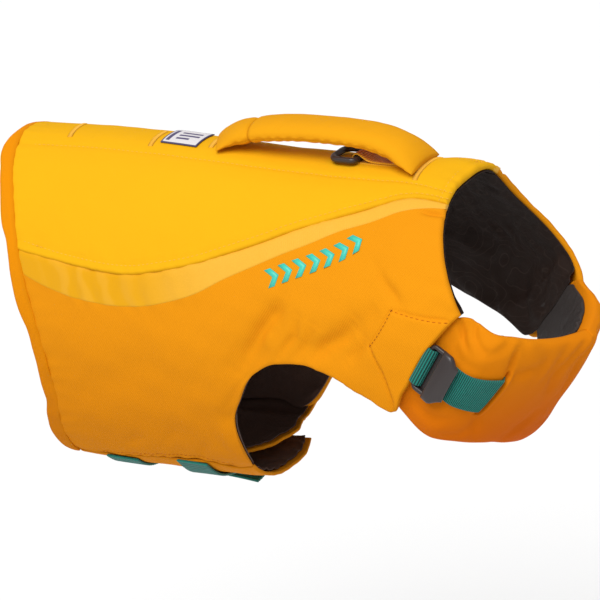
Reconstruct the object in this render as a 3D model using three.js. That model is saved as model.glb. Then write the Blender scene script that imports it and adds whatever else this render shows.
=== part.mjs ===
// Life jacket for a small dog, in its worn shape and empty.
// Millimetres. +X points to the head, +Y to the wearer's left, +Z up.
// The origin lies on the inner face of the back, where the wearer's spine carries the jacket.
// Every cloth piece is laid out on one body surface in two coordinates:
//   t      0 at the tail hem, 1 at the neck edge
//   theta  degrees round the body from the spine, positive down the wearer's right side
import * as THREE from 'three';

// Cloth and trim sizes
const SHELL_WALL = 4.5;          // face cloth with its thin foam, one wall
const LINING_WALL = 1.0;
const SEAM_GAP = 0.3;            // between layers and across seams
const WEBBING_WIDTH = 25;
const WEBBING_WALL = 1.6;
const WEBBING_LIFT = 0.7;        // clear of the panel below
const LINING_OUTER = -(SHELL_WALL + SEAM_GAP);
const LINING_INNER = LINING_OUTER - LINING_WALL;

// Round sizes of the body, used to turn millimetres into t and theta
const LENGTH_PER_T = 330;
const ARC_PER_DEGREE = 1.45;
const SEAM_DEGREES = SEAM_GAP / ARC_PER_DEGREE;

// Colours from the cloth
const YELLOW = 0xf7ba21;
const ORANGE = 0xe8951c;
const GOLD = 0xf8ba43;
const CHARCOAL = 0x201816;
const TAUPE = 0x573b30;
const TEAL = 0x1f8a84;
const GREY = 0x565051;
const CREAM = 0xd8cdb8;

const table = (columns, rows) =>
  rows.map((row) => Object.fromEntries(columns.map((name, i) => [name, row[i]])));

// Body sections from the tail hem to the neck edge, evenly spaced in t
const SECTIONS = table(
  ['xTop', 'zTop', 'xBottom', 'zBottom', 'halfWidth', 'widest', 'bow', 'upperFall', 'lowerFall'],
  [
    [-160.0,  5.0, -122, -210, 70.0, 0.50, 12, 1.00, 0.62],
    [-106.0,  7.0,  -77, -211, 74.0, 0.50,  9, 1.00, 0.68],
    [ -52.0,  7.0,  -30, -211, 77.5, 0.51,  6, 1.00, 0.75],
    [   2.0,  5.0,   15, -210, 80.5, 0.52,  3, 1.00, 0.80],
    [  50.0,  3.5,   92, -200, 83.0, 0.57,  0, 1.00, 0.90],
    [  98.0,  3.0,  172, -174, 85.0, 0.64, -5, 1.00, 1.00],
    [ 131.5,  3.3,  198, -147, 80.0, 0.62, -3, 1.02, 1.30],
    [ 162.4, -2.3,  220, -113, 69.5, 0.60, -4, 0.92, 1.50],
  ],
);

// Seam between the yellow back and the side, and the stripe's lower edge
const BACK_SEAM = table(['t', 'theta'], [
  [0.00, 61.6], [0.11, 65.7], [0.19, 67.0], [0.26, 66.7], [0.32, 64.3], [0.41, 59.0], [0.48, 52.7],
  [0.55, 46.0], [0.62, 39.0], [0.70, 32.3], [0.79, 27.7], [0.90, 23.7], [1.00, 23.0],
]);
const STRIPE_EDGE = table(['t', 'theta'], [
  [0.00, 66.0], [0.10, 76.3], [0.19, 78.3], [0.26, 77.3], [0.32, 75.0], [0.41, 69.0], [0.48, 60.7],
  [0.56, 52.0], [0.63, 45.0], [0.70, 38.3], [0.80, 34.3], [0.94, 28.3], [1.00, 26.5],
]);

// Lower outline of the right side panel: belly seam, leg opening, shoulder edge, pocket mouth.
// Each row also names the point of the upper edge it is ruled to.
const SIDE_OUTLINE = table(['up', 't', 'theta', 'columns'], [
  [0.034, 0.034, 157.0, 0], [0.100, 0.100, 153.0, 2], [0.200, 0.200, 147.5, 3], [0.320, 0.330, 143.5, 4],
  [0.385, 0.405, 147.0, 2], [0.410, 0.437, 144.0, 1], [0.430, 0.443, 131.0, 1], [0.450, 0.446, 116.0, 1],
  [0.480, 0.470, 103.5, 1], [0.510, 0.501,  92.0, 1], [0.545, 0.545,  85.8, 1], [0.590, 0.591,  84.3, 1],
  [0.640, 0.633,  86.7, 2], [0.685, 0.669,  93.0, 1], [0.720, 0.700, 101.7, 1], [0.765, 0.741,  92.7, 1],
  [0.820, 0.787,  88.7, 2], [0.910, 0.880,  85.0, 3], [0.960, 0.952,  83.0, 2], [0.985, 0.985,  82.5, 1],
]);
// The left panel reaches further round, to its seam with the chest pad: its rows from the leg opening on
const LEFT_FRONT = table(['up', 't', 'theta', 'columns'], [
  [0.640, 0.636,  89.5, 2], [0.685, 0.680,  99.0, 1], [0.720, 0.728, 116.0, 1], [0.765, 0.765, 117.5, 1],
  [0.820, 0.815, 118.0, 2], [0.910, 0.905, 118.0, 3], [0.960, 0.957, 118.0, 2], [0.985, 0.985, 118.0, 1],
]);
const POCKET_MOUTH = table(['t', 'theta'], [
  [0.70, 101.7], [0.741, 92.7], [0.787, 88.7], [0.88, 85.0], [0.985, 82.5], [1.0, 82.3],
]);
const LEFT_MOUTH = 118;
const LEFT_REACH = 34;           // degrees by which the left pocket lies further round

// Belly flaps: the right one lies outside, the left one under it
const FLAP_FRONT_T = 0.437;
const RIGHT_FLAP_END = 197;      // degrees, past the belly line
const LEFT_FLAP_END = 216;
const UNDERLAP_INSET = 15;       // the inner flap hangs this far above the outer one
const UNDERLAP_RETURN = 6;       // and comes back by this much at its free end
const FLAP_WALL = 2.4;
const FLAP_LINING = -(FLAP_WALL + SEAM_GAP);
const FLAP_LINING_SHORT = 0.6;   // degrees by which its lining ends earlier

// Chest pad
const PAD_REAR = table(['theta', 't'], [
  [70, 0.760], [80, 0.740], [90, 0.715], [102, 0.703], [115, 0.712], [130, 0.745], [150, 0.765], [180, 0.745],
]);
const PAD_REAR_LEFT = table(['theta', 't'], [[100, 0.785], [118, 0.775], [135, 0.772], [150, 0.765], [180, 0.745]]);
const PAD_FRONT = table(['theta', 't'], [
  [70, 0.935], [80, 0.942], [84, 0.985], [88, 1.0], [180, 1.0],
]);
const PAD_HALF = 7;              // half of the stuffed thickness
const TONGUE_HALF = 2.05;        // half of the flat end inside the pocket
const TONGUE_CENTRE = -7.0;
const PAD_EDGE_SHARE = 0.18;
const PAD_RISE = [4, 27];        // degrees past the pocket mouth over which the pad swells
const POCKET_ROOM = 4.7;         // the lining stands this far off behind the pocket

// Largest folds of the side panels: troughs between two places on the body
const FOLDS = table(['t', 'theta', 'tEnd', 'thetaEnd', 'width', 'depth'], [
  [0.554, 71, 0.480,  92, 8, 2.6],
  [0.480, 92, 0.440, 112, 8, 2.2],
  [0.637, 80, 0.690,  72, 8, 1.8],
]);

const clamp01 = (x) => Math.min(1, Math.max(0, x));
const smoothstep = (a, b, x) => {
  const s = clamp01((x - a) / (b - a));
  return s * s * (3 - 2 * s);
};
const mix = (a, b, s) => a + (b - a) * s;

// Hermite curve through a table whose first key column rises
function lookup(rows, key, column, x) {
  const last = rows.length - 1;
  let i = 0;
  while (i < last - 1 && x > rows[i + 1][key]) i += 1;
  const slope = (k) => {
    const a = rows[Math.max(k - 1, 0)];
    const b = rows[Math.min(k + 1, last)];
    return (b[column] - a[column]) / (b[key] - a[key]);
  };
  const span = rows[i + 1][key] - rows[i][key];
  const s = clamp01((x - rows[i][key]) / span);
  const s2 = s * s;
  const s3 = s2 * s;
  return (2 * s3 - 3 * s2 + 1) * rows[i][column] + (s3 - 2 * s2 + s) * span * slope(i)
    + (3 * s2 - 2 * s3) * rows[i + 1][column] + (s3 - s2) * span * slope(i + 1);
}

// One body section at t, by Catmull-Rom through the rows
function section(t) {
  const last = SECTIONS.length - 1;
  const i = Math.min(Math.max(Math.floor(t * last), 0), last - 1);
  const f = t * last - i;
  const b = SECTIONS[i];
  const c = SECTIONS[i + 1];
  const result = {};
  for (const name of Object.keys(b)) {
    const p1 = b[name];
    const p2 = c[name];
    const p0 = i > 0 ? SECTIONS[i - 1][name] : 2 * p1 - p2;
    const p3 = i < last - 1 ? SECTIONS[i + 2][name] : 2 * p2 - p1;
    result[name] = 0.5 * (2 * p1 + (p2 - p0) * f + (2 * p0 - 5 * p1 + 4 * p2 - p3) * f * f
      + (3 * p1 - p0 - 3 * p2 + p3) * f * f * f);
  }
  return result;
}

function body(t, theta) {
  const s = section(t);
  const angle = THREE.MathUtils.degToRad(theta);
  const cosine = Math.cos(angle);
  const sine = Math.sin(angle);
  const drop = cosine > 0 ? s.widest * (1 - cosine) : s.widest - (1 - s.widest) * cosine;
  const fall = cosine > 0 ? s.upperFall : s.lowerFall;
  const x = mix(s.xTop, s.xBottom, drop) + s.bow * Math.sin(Math.PI * clamp01(drop));
  const y = -Math.sign(sine) * s.halfWidth * Math.abs(sine) ** fall;
  return new THREE.Vector3(x, y, mix(s.zTop, s.zBottom, drop));
}

function tangents(t, theta) {
  const stepT = 0.002;
  const stepTheta = 0.6;
  const alongT = body(t + stepT, theta).sub(body(t - stepT, theta)).divideScalar(2 * stepT);
  const alongTheta = body(t, theta + stepTheta).sub(body(t, theta - stepTheta)).divideScalar(2 * stepTheta);
  return { alongT, alongTheta, normal: alongTheta.clone().cross(alongT).normalize() };
}

// Depth of the folds at a place, the same on both sides
function foldDepth(t, theta) {
  let depth = 0;
  for (const fold of FOLDS) {
    const from = new THREE.Vector2(fold.t * LENGTH_PER_T, fold.theta * ARC_PER_DEGREE);
    const run = new THREE.Vector2(fold.tEnd * LENGTH_PER_T, fold.thetaEnd * ARC_PER_DEGREE).sub(from);
    const here = new THREE.Vector2(t * LENGTH_PER_T, Math.abs(theta) * ARC_PER_DEGREE).sub(from);
    const s = clamp01(here.dot(run) / run.lengthSq());
    const distance = here.sub(run.multiplyScalar(s)).length();
    depth = Math.max(depth, fold.depth * Math.exp(-((distance / fold.width) ** 2)));
  }
  return depth;
}

// A point of the body surface, moved out along its normal
function skin(t, theta, out) {
  const { normal } = tangents(t, theta);
  return body(t, theta).addScaledVector(normal, out - foldDepth(t, theta));
}

// Closed solid from points and triangles, turned so that its faces point out
function solid(name, points, triangles, colour, roughness = 0.85, metalness = 0) {
  let volume = 0;
  for (const [a, b, c] of triangles) {
    volume += points[a].dot(points[b].clone().cross(points[c]));
  }
  const ordered = volume > 0 ? triangles : triangles.map(([a, b, c]) => [a, c, b]);
  const geometry = new THREE.BufferGeometry();
  geometry.setAttribute('position', new THREE.Float32BufferAttribute(points.flatMap((p) => p.toArray()), 3));
  geometry.setIndex(ordered.flat());
  geometry.computeVertexNormals();
  const mesh = new THREE.Mesh(geometry, new THREE.MeshStandardMaterial({ color: colour, roughness, metalness }));
  mesh.name = name;
  return mesh;
}

// A cloth wall between two grids of points with the same rows and columns
function wall(name, outer, inner, colour) {
  const rows = outer.length;
  const columns = outer[0].length;
  const points = [...outer.flat(), ...inner.flat()];
  const shift = rows * columns;
  const at = (i, j) => i * columns + j;
  const triangles = [];
  const quad = (a, b, c, d) => triangles.push([a, b, c], [a, c, d]);
  for (let i = 0; i < rows - 1; i += 1) {
    for (let j = 0; j < columns - 1; j += 1) {
      quad(at(i, j), at(i + 1, j), at(i + 1, j + 1), at(i, j + 1));
      quad(shift + at(i, j), shift + at(i, j + 1), shift + at(i + 1, j + 1), shift + at(i + 1, j));
    }
  }
  const rim = [];
  for (let j = 0; j < columns - 1; j += 1) rim.push(at(0, j));
  for (let i = 0; i < rows - 1; i += 1) rim.push(at(i, columns - 1));
  for (let j = columns - 1; j > 0; j -= 1) rim.push(at(rows - 1, j));
  for (let i = rows - 1; i > 0; i -= 1) rim.push(at(i, 0));
  rim.forEach((a, k) => {
    const b = rim[(k + 1) % rim.length];
    quad(a, b, shift + b, shift + a);
  });
  return solid(name, points, triangles, colour);
}

// A wall on the body: place(i, j) gives t and theta, the two levels are numbers or functions of them
function panel(name, rows, columns, place, outerLevel, innerLevel, colour) {
  const level = (value, t, theta) => (typeof value === 'function' ? value(t, theta) : value);
  const grid = (value) => Array.from({ length: rows + 1 }, (_, i) =>
    Array.from({ length: columns + 1 }, (_, j) => {
      const [t, theta] = place(i, j);
      return skin(t, theta, level(value, t, theta));
    }));
  return wall(name, grid(outerLevel), grid(innerLevel), colour);
}

// A loft through closed rings of points, with its two ends closed
function loft(name, rings, colour, roughness, metalness) {
  const count = rings[0].length;
  const points = rings.flat();
  const triangles = [];
  for (let i = 0; i < rings.length - 1; i += 1) {
    for (let j = 0; j < count; j += 1) {
      const a = i * count + j;
      const b = i * count + ((j + 1) % count);
      triangles.push([a, b, b + count], [a, b + count, a + count]);
    }
  }
  const end = (rings.length - 1) * count;
  for (let j = 1; j < count - 1; j += 1) {
    triangles.push([0, j + 1, j], [end, end + j, end + j + 1]);
  }
  return solid(name, points, triangles, colour, roughness, metalness);
}

// A strap on a surface: path rows of t and theta, level gives the height of what it lies on
function strap(name, path, steps, width, thickness, level, colour) {
  const acrossShares = [-1, -0.33, 0.33, 1];
  const outer = [];
  const inner = [];
  const last = path.length - 1;
  for (let k = 0; k <= steps; k += 1) {
    const s = k / steps;
    const point = (q) => ({ t: lookup(path, 's', 't', q * last), theta: lookup(path, 's', 'theta', q * last) });
    const here = point(s);
    const before = point(Math.max(s - 0.02, 0));
    const after = point(Math.min(s + 0.02, 1));
    const { alongT, alongTheta, normal } = tangents(here.t, here.theta);
    const run = alongT.clone().multiplyScalar(after.t - before.t)
      .addScaledVector(alongTheta, after.theta - before.theta);
    const across = normal.clone().cross(run).normalize().multiplyScalar(width / 2);
    const determinant = alongT.lengthSq() * alongTheta.lengthSq() - alongT.dot(alongTheta) ** 2;
    const stepT = (across.dot(alongT) * alongTheta.lengthSq() - across.dot(alongTheta) * alongT.dot(alongTheta))
      / determinant;
    const stepTheta = (across.dot(alongTheta) * alongT.lengthSq() - across.dot(alongT) * alongT.dot(alongTheta))
      / determinant;
    const row = (extra) => acrossShares.map((share) => {
      const t = here.t + stepT * share;
      const theta = here.theta + stepTheta * share;
      return skin(t, theta, level(t, theta, s) + extra);
    });
    outer.push(row(WEBBING_LIFT + thickness));
    inner.push(row(WEBBING_LIFT));
  }
  return wall(name, outer, inner, colour);
}
const pathOf = (rows) => table(['s', 't', 'theta'], rows.map((row, i) => [i, ...row]));

// Columns of the side panels, shared by the stripe and the back so that the seams match
function sideColumns(outline) {
  const columns = [{ up: outline[0].up, t: outline[0].t, theta: outline[0].theta }];
  for (let i = 1; i < outline.length; i += 1) {
    const a = outline[i - 1];
    const b = outline[i];
    for (let k = 1; k <= b.columns; k += 1) {
      const s = k / b.columns;
      columns.push({ up: mix(a.up, b.up, s), t: mix(a.t, b.t, s), theta: mix(a.theta, b.theta, s) });
    }
  }
  return columns;
}
const COLUMNS = sideColumns(SIDE_OUTLINE);
const LEFT_COLUMNS = sideColumns([...SIDE_OUTLINE.slice(0, -LEFT_FRONT.length), ...LEFT_FRONT]);
const LAST_COLUMN = COLUMNS.length - 1;

// The lining stands off behind the pocket, and meets the shell at the neck above the pad
function liningDrop(t, theta) {
  const turn = Math.abs(theta) - (theta < 0 ? LEFT_REACH : 0);
  const neck = smoothstep(0.955, 0.985, t) * (1 - smoothstep(72, 80, turn));
  return POCKET_ROOM * smoothstep(52, 63, turn) * smoothstep(0.62, 0.70, t) * (1 - neck);
}

// Belly seam between a side panel and its flap: the columns behind the leg opening
const BELLY_COLUMNS = COLUMNS.filter((column) => column.t <= FLAP_FRONT_T);
function bellySeamAt(t) {
  const k = BELLY_COLUMNS.findIndex((column, i) => i > 0 && t <= column.t);
  const a = BELLY_COLUMNS[k - 1];
  const b = BELLY_COLUMNS[k];
  return mix(a.theta, b.theta, (t - a.t) / (b.t - a.t));
}

const lined = (offset) => (t, theta) => offset - liningDrop(t, theta);
const seamAt = (t) => lookup(BACK_SEAM, 't', 'theta', t);
const stripeAt = (t) => lookup(STRIPE_EDGE, 't', 'theta', t);

function backPanel(name, outerLevel, innerLevel, colour) {
  const rows = 10;
  const place = (i, j) => {
    const t = COLUMNS[j].up;
    const edge = seamAt(t) - SEAM_DEGREES;
    return [t, mix(-edge, edge, i / rows)];
  };
  return panel(name, rows, LAST_COLUMN, place, outerLevel, innerLevel, colour);
}

function stripe(name, side) {
  const place = (i, j) => {
    const t = COLUMNS[j].up;
    return [t, side * mix(seamAt(t), stripeAt(t) - SEAM_DEGREES, i)];
  };
  return panel(name, 1, LAST_COLUMN, place, 0, -SHELL_WALL, GOLD);
}

// Side panel, and its lining with one more row above, behind the stripe
const SIDE_ROWS = 8;
function sidePlace(side, i, j) {
  const column = (side > 0 ? COLUMNS : LEFT_COLUMNS)[j];
  const s = i / SIDE_ROWS;
  return [mix(column.up, column.t, s), side * mix(stripeAt(column.up), column.theta, s)];
}
function sidePanel(name, side) {
  const place = (i, j) => sidePlace(side, i, j);
  return panel(name, SIDE_ROWS, LAST_COLUMN, place, 0, -SHELL_WALL, ORANGE);
}
function sideLining(name, side) {
  const place = (i, j) => (i === 0 ? [COLUMNS[j].up, side * seamAt(COLUMNS[j].up)] : sidePlace(side, i - 1, j));
  return panel(name, SIDE_ROWS + 1, LAST_COLUMN, place, lined(LINING_OUTER), lined(LINING_INNER), CHARCOAL);
}

// Flap level: the right one keeps the body's level, the left one swings in under it
const underlap = (t, theta) => {
  const turn = Math.abs(theta);
  return -UNDERLAP_INSET * smoothstep(148, 163, turn) + UNDERLAP_RETURN * smoothstep(185, LEFT_FLAP_END, turn);
};

function bellyFlap(name, side, endTheta, base, outerLevel, wallThickness, colour) {
  const rows = 9;
  const place = (i, j) => {
    const { t, theta } = BELLY_COLUMNS[j];
    return [t, side * mix(theta + 1.5 * SEAM_DEGREES, endTheta, i / rows)];
  };
  const level = (offset) => (t, theta) => offset + base(t, theta);
  return panel(name, rows, BELLY_COLUMNS.length - 1, place, level(outerLevel), level(outerLevel - wallThickness), colour);
}

// Rolled hem round the tail opening, in section coordinates: t and level
const HEM_PROFILE = [
  [0.031, -6.1], [0.032, 0.2], [0.024, 1.0], [0.006, 0.6], [0.0, -1.6], [0.0, -4.4], [0.008, -6.4],
];
const HEM_END = 156;             // degrees on either side, at the belly seams
function hemBinding() {
  const steps = 44;
  const rings = Array.from({ length: steps + 1 }, (_, k) => {
    const theta = mix(-HEM_END, HEM_END, k / steps);
    return HEM_PROFILE.map(([t, level]) => skin(t, theta, level));
  });
  return loft('hem_binding', rings, ORANGE);
}

// The pad runs from 71 degrees on the right under the chest to 255, which is 105 on the left
const PAD_FROM = 71;
const PAD_TO = 360 - PAD_FROM - LEFT_REACH;
function padEnds(theta) {
  if (theta <= 180) return { rear: lookup(PAD_REAR, 'theta', 't', theta), front: lookup(PAD_FRONT, 'theta', 't', theta) };
  const turn = 360 - theta;
  return { rear: lookup(PAD_REAR_LEFT, 'theta', 't', turn), front: lookup(PAD_FRONT, 'theta', 't', turn - LEFT_REACH) };
}
function padSwell(t, theta) {
  const mouth = theta > 180 ? LEFT_MOUTH : lookup(POCKET_MOUTH, 't', 'theta', Math.min(Math.max(t, 0.7), 1));
  return smoothstep(mouth + PAD_RISE[0], mouth + PAD_RISE[1], theta > 180 ? 360 - theta : theta);
}
function padProfile(t, theta) {
  const { rear, front } = padEnds(theta);
  const u = clamp01((t - rear) / (front - rear));
  return Math.max(PAD_EDGE_SHARE, Math.sqrt(1 - Math.abs(2 * u - 1) ** 3));
}
function padLevel(t, theta, face) {
  const swell = padSwell(t, theta);
  const half = mix(TONGUE_HALF, PAD_HALF * padProfile(t, theta), swell);
  return mix(TONGUE_CENTRE, 0, swell) + face * half;
}

function chestPad() {
  const rows = 36;
  const columns = 8;
  const place = (i, j) => {
    const theta = mix(PAD_FROM, PAD_TO, i / rows);
    const { rear, front } = padEnds(theta);
    return [mix(rear, front, (1 - Math.cos(Math.PI * j / columns)) / 2), theta];
  };
  return panel('chest_pad', rows, columns, place, (t, h) => padLevel(t, h, 1), (t, h) => padLevel(t, h, -1), ORANGE);
}

function chestPadLining() {
  const rows = 20;
  const columns = 6;
  const from = 104;
  const to = 360 - LEFT_MOUTH - 6;
  const margin = 0.02;
  const place = (i, j) => {
    const theta = mix(from, to, i / rows);
    const { rear, front } = padEnds(theta);
    return [mix(rear + margin, front - margin, j / columns), theta];
  };
  const level = (drop) => (t, theta) => padLevel(t, theta, -1) - drop;
  return panel('chest_pad_lining', rows, columns, place, level(0.9), level(0.9 + LINING_WALL), TAUPE);
}

// Chest strap: a loop out of the pocket, the ladder slider, and the strap sewn to the pad
const SLIDER = {
  t: 0.857, theta: 98.8, tEnd: 0.875, thetaEnd: 105.8, along: 17, across: 32, thickness: 3.2, bar: 3.4, lift: 3.2,
};
const LOOP_CORNERS = { mouth: [[0.869, 86.9], [0.777, 91.6]], slider: [[0.880, 91.0], [0.816, 99.4]] };
const STRAP_PATH = pathOf([[0.866, 102.2], [0.890, 113.0], [0.901, 122.0], [0.905, 130.0]]);
const onPad = (t, theta) => padLevel(t, theta, 1);

function chestLoop() {
  const { mouth, slider } = LOOP_CORNERS;
  const place = (i, j) => [0, 1].map((axis) => {
    const near = mix(mouth[0][axis], mouth[1][axis], j / 4);
    const far = mix(slider[0][axis], slider[1][axis], j / 4);
    return mix(near, far, i / 2);
  });
  const raised = (extra) => (t, theta) => onPad(t, theta) + WEBBING_LIFT + extra;
  return panel('chest_loop', 2, 4, place, raised(WEBBING_WALL), raised(0), TEAL);
}

// Frame of a hard piece that lies on a surface: x along it, z off it, lifted by some millimetres
function frameOn(t, theta, tEnd, thetaEnd, level, lift) {
  const reach = { t: 0.03, theta: 5 };
  const at = (a, b) => skin(a, b, level(a, b));
  const alongT = at(t + reach.t, theta).sub(at(t - reach.t, theta));
  const alongTheta = at(t, theta + reach.theta).sub(at(t, theta - reach.theta));
  const normal = alongTheta.cross(alongT).normalize();
  const origin = at(t, theta);
  const run = at(tEnd, thetaEnd).sub(origin);
  run.addScaledVector(normal, -run.dot(normal)).normalize();
  const across = normal.clone().cross(run);
  return new THREE.Matrix4().makeBasis(run, across, normal).setPosition(origin.addScaledVector(normal, lift));
}

function bakeGeometry(geometry, matrix, name, colour, roughness) {
  geometry.applyMatrix4(matrix);
  const mesh = new THREE.Mesh(geometry, new THREE.MeshStandardMaterial({ color: colour, roughness, metalness: 0 }));
  mesh.name = name;
  return mesh;
}

function rectangle(shape, x0, y0, x1, y1, radius) {
  shape.moveTo(x0 + radius, y0);
  shape.lineTo(x1 - radius, y0);
  shape.quadraticCurveTo(x1, y0, x1, y0 + radius);
  shape.lineTo(x1, y1 - radius);
  shape.quadraticCurveTo(x1, y1, x1 - radius, y1);
  shape.lineTo(x0 + radius, y1);
  shape.quadraticCurveTo(x0, y1, x0, y1 - radius);
  shape.lineTo(x0, y0 + radius);
  shape.quadraticCurveTo(x0, y0, x0 + radius, y0);
  return shape;
}

function chestSlider() {
  const { along, across, thickness, bar, lift } = SLIDER;
  const plate = rectangle(new THREE.Shape(), -along / 2, -across / 2, along / 2, across / 2, 2.5);
  const slot = (along - 3 * bar) / 2;
  for (const x of [-along / 2 + bar, bar / 2]) {
    plate.holes.push(rectangle(new THREE.Path(), x, -WEBBING_WIDTH / 2 - 0.6, x + slot, WEBBING_WIDTH / 2 + 0.6, 0.6));
  }
  const geometry = new THREE.ExtrudeGeometry(plate, { depth: thickness, bevelEnabled: false, curveSegments: 3 });
  const place = frameOn(SLIDER.t, SLIDER.theta, SLIDER.tEnd, SLIDER.thetaEnd, onPad, lift);
  return bakeGeometry(geometry, place, 'chest_slider', GREY, 0.5);
}

// Belly straps: sewn at the right belly seam, under the flap, up to a buckle on the left side
const BELLY_STRAPS = table(['name', 't', 'buckle'], [['rear', 0.120, -127], ['front', 0.300, -125]]);
const BUCKLE = { length: 46, width: 34, thickness: 9, lift: 2.7, corner: 3.5, overlap: 5 };

function bellyStrap(row) {
  const start = -(360 - bellySeamAt(row.t) - 1.2);
  const end = row.buckle - BUCKLE.overlap;
  const path = pathOf([0, 1, 2, 3, 4].map((k) => [row.t, mix(start, end, k / 4)]));
  return strap(`belly_strap_${row.name}`, path, 20, WEBBING_WIDTH, WEBBING_WALL, () => 0, TEAL);
}
const TAB_END = 33;              // degrees above the buckle
function buckleTab(row) {
  const path = pathOf([0, 1, 2].map((k) => [row.t, row.buckle + mix(BUCKLE.overlap, TAB_END, k / 2)]));
  return strap(`buckle_tab_${row.name}`, path, 5, WEBBING_WIDTH, WEBBING_WALL, () => 0, TEAL);
}
function buckle(row) {
  const outline = new THREE.Shape();
  const { length, width, thickness, lift, corner } = BUCKLE;
  const waist = width / 2 - corner;
  outline.moveTo(-length / 2, -waist);
  outline.lineTo(-length / 5, -width / 2);
  outline.lineTo(length / 5, -width / 2);
  outline.lineTo(length / 2, -waist);
  outline.lineTo(length / 2, waist);
  outline.lineTo(length / 5, width / 2);
  outline.lineTo(-length / 5, width / 2);
  outline.lineTo(-length / 2, waist);
  const geometry = new THREE.ExtrudeGeometry(outline, { depth: thickness, bevelEnabled: false });
  const place = frameOn(row.t, row.buckle, row.t, row.buckle + 5, () => 0, lift);
  return bakeGeometry(geometry, place, `buckle_${row.name}`, GREY, 0.5);
}
// Free end of the front strap, doubled back from its buckle and hanging under the belly
const TAIL = { from: -146, to: -178.5, above: WEBBING_WALL + 0.5, drop: 13.5 };
function strapTail() {
  const t = BELLY_STRAPS[1].t;
  const path = pathOf([0, 1, 2, 3].map((k) => [t, mix(TAIL.from, TAIL.to, k / 3)]));
  const hang = (theta) => smoothstep(5 - TAIL.from, -TAIL.to, Math.abs(theta));
  const level = (_, theta) => TAIL.above + TAIL.drop * hang(theta);
  return strap('belly_strap_tail', path, 9, WEBBING_WIDTH, WEBBING_WALL, level, TEAL);
}

// Handle along the spine: centre height, half width and half height at each x
const HANDLE = table(['x', 'z', 'halfWidth', 'halfHeight'], [
  [-15.0,  7.8, 14.0, 1.6], [-6.0, 10.0, 14.5, 3.2], [2.0, 13.4, 15.0, 5.6], [9.2, 15.9, 15.0, 6.8],
  [ 20.0, 18.6, 15.0, 7.2], [35.0, 20.4, 15.0, 7.2], [52, 21.3, 15.0, 7.2], [70.0, 21.2, 15.0, 7.2],
  [ 86.0, 19.9, 15.0, 7.2], [100.0, 17.0, 15.0, 7.4], [112.0, 12.8, 15.5, 7.2], [121.0, 9.9, 16.0, 5.6],
  [128.0,  7.3, 16.0, 3.2], [132.0, 5.9, 16.0, 1.7],
]);
const HANDLE_SEAM_ROW = 3;
const HANDLE_LEAN = 0.8;         // how far its sections lean with its slope
const HANDLE_SQUARE = 0.8;       // below 1 the sides of its section are fuller
function handlePiece(name, first, last, shift) {
  const sides = 14;
  const rings = HANDLE.slice(first, last + 1).map((row) => {
    const i = HANDLE.indexOf(row);
    const before = HANDLE[Math.max(i - 1, 0)];
    const after = HANDLE[Math.min(i + 1, HANDLE.length - 1)];
    const tilt = Math.atan2(after.z - before.z, after.x - before.x);
    return Array.from({ length: sides }, (_, k) => {
      const angle = (2 * Math.PI * k) / sides;
      const rise = row.halfHeight * Math.sin(angle);
      const share = Math.sign(Math.cos(angle)) * Math.abs(Math.cos(angle)) ** HANDLE_SQUARE;
      const x = row.x + shift - rise * Math.sin(tilt) * HANDLE_LEAN;
      return new THREE.Vector3(x, row.halfWidth * share, row.z + rise * Math.cos(tilt));
    });
  });
  return loft(name, rings, ORANGE);
}

// Leash ring and the webbing loop that holds its front bar
const RING = { x: 88, z: 7.4, length: 19, halfWidth: 10.5, bar: 2.0, corner: 6 };
const RING_LOOP = { halfWidth: 6.4, clearance: 0.45, wall: 1.2, end: 107, closeAt: 9, startAngle: 60 };
function leashRing() {
  const { length, halfWidth, bar, corner, x, z } = RING;
  const corners = [[0, -halfWidth], [0, halfWidth], [-length, halfWidth], [-length, -halfWidth]];
  const radii = [2.5, 2.5, corner, corner];
  const arcs = corners.map(([cx, cy], i) => {
    const point = new THREE.Vector3(cx, cy, 0);
    const previous = new THREE.Vector3(...corners[(i + 3) % 4], 0);
    const next = new THREE.Vector3(...corners[(i + 1) % 4], 0);
    const start = point.clone().add(previous.sub(point).setLength(radii[i]));
    const end = point.clone().add(next.sub(point).setLength(radii[i]));
    return { start, point, end };
  });
  const centres = [];
  arcs.forEach((arc) => {
    const bend = new THREE.QuadraticBezierCurve3(arc.start, arc.point, arc.end);
    centres.push(...bend.getPoints(4));
  });
  const sides = 8;
  const points = [];
  const triangles = [];
  const count = centres.length;
  centres.forEach((centre, i) => {
    const run = centres[(i + 1) % count].clone().sub(centres[(i + count - 1) % count]).normalize();
    const sideways = new THREE.Vector3(-run.y, run.x, 0);
    for (let k = 0; k < sides; k += 1) {
      const angle = (2 * Math.PI * k) / sides;
      const point = centre.clone().addScaledVector(sideways, bar * Math.cos(angle));
      point.z += bar * Math.sin(angle);
      points.push(point.add(new THREE.Vector3(x, 0, z)));
    }
  });
  for (let i = 0; i < count; i += 1) {
    for (let k = 0; k < sides; k += 1) {
      const a = i * sides + k;
      const b = i * sides + ((k + 1) % sides);
      const c = ((i + 1) % count) * sides + ((k + 1) % sides);
      const d = ((i + 1) % count) * sides + k;
      triangles.push([a, b, c], [a, c, d]);
    }
  }
  return solid('leash_ring', points, triangles, GREY, 0.4);
}
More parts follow.
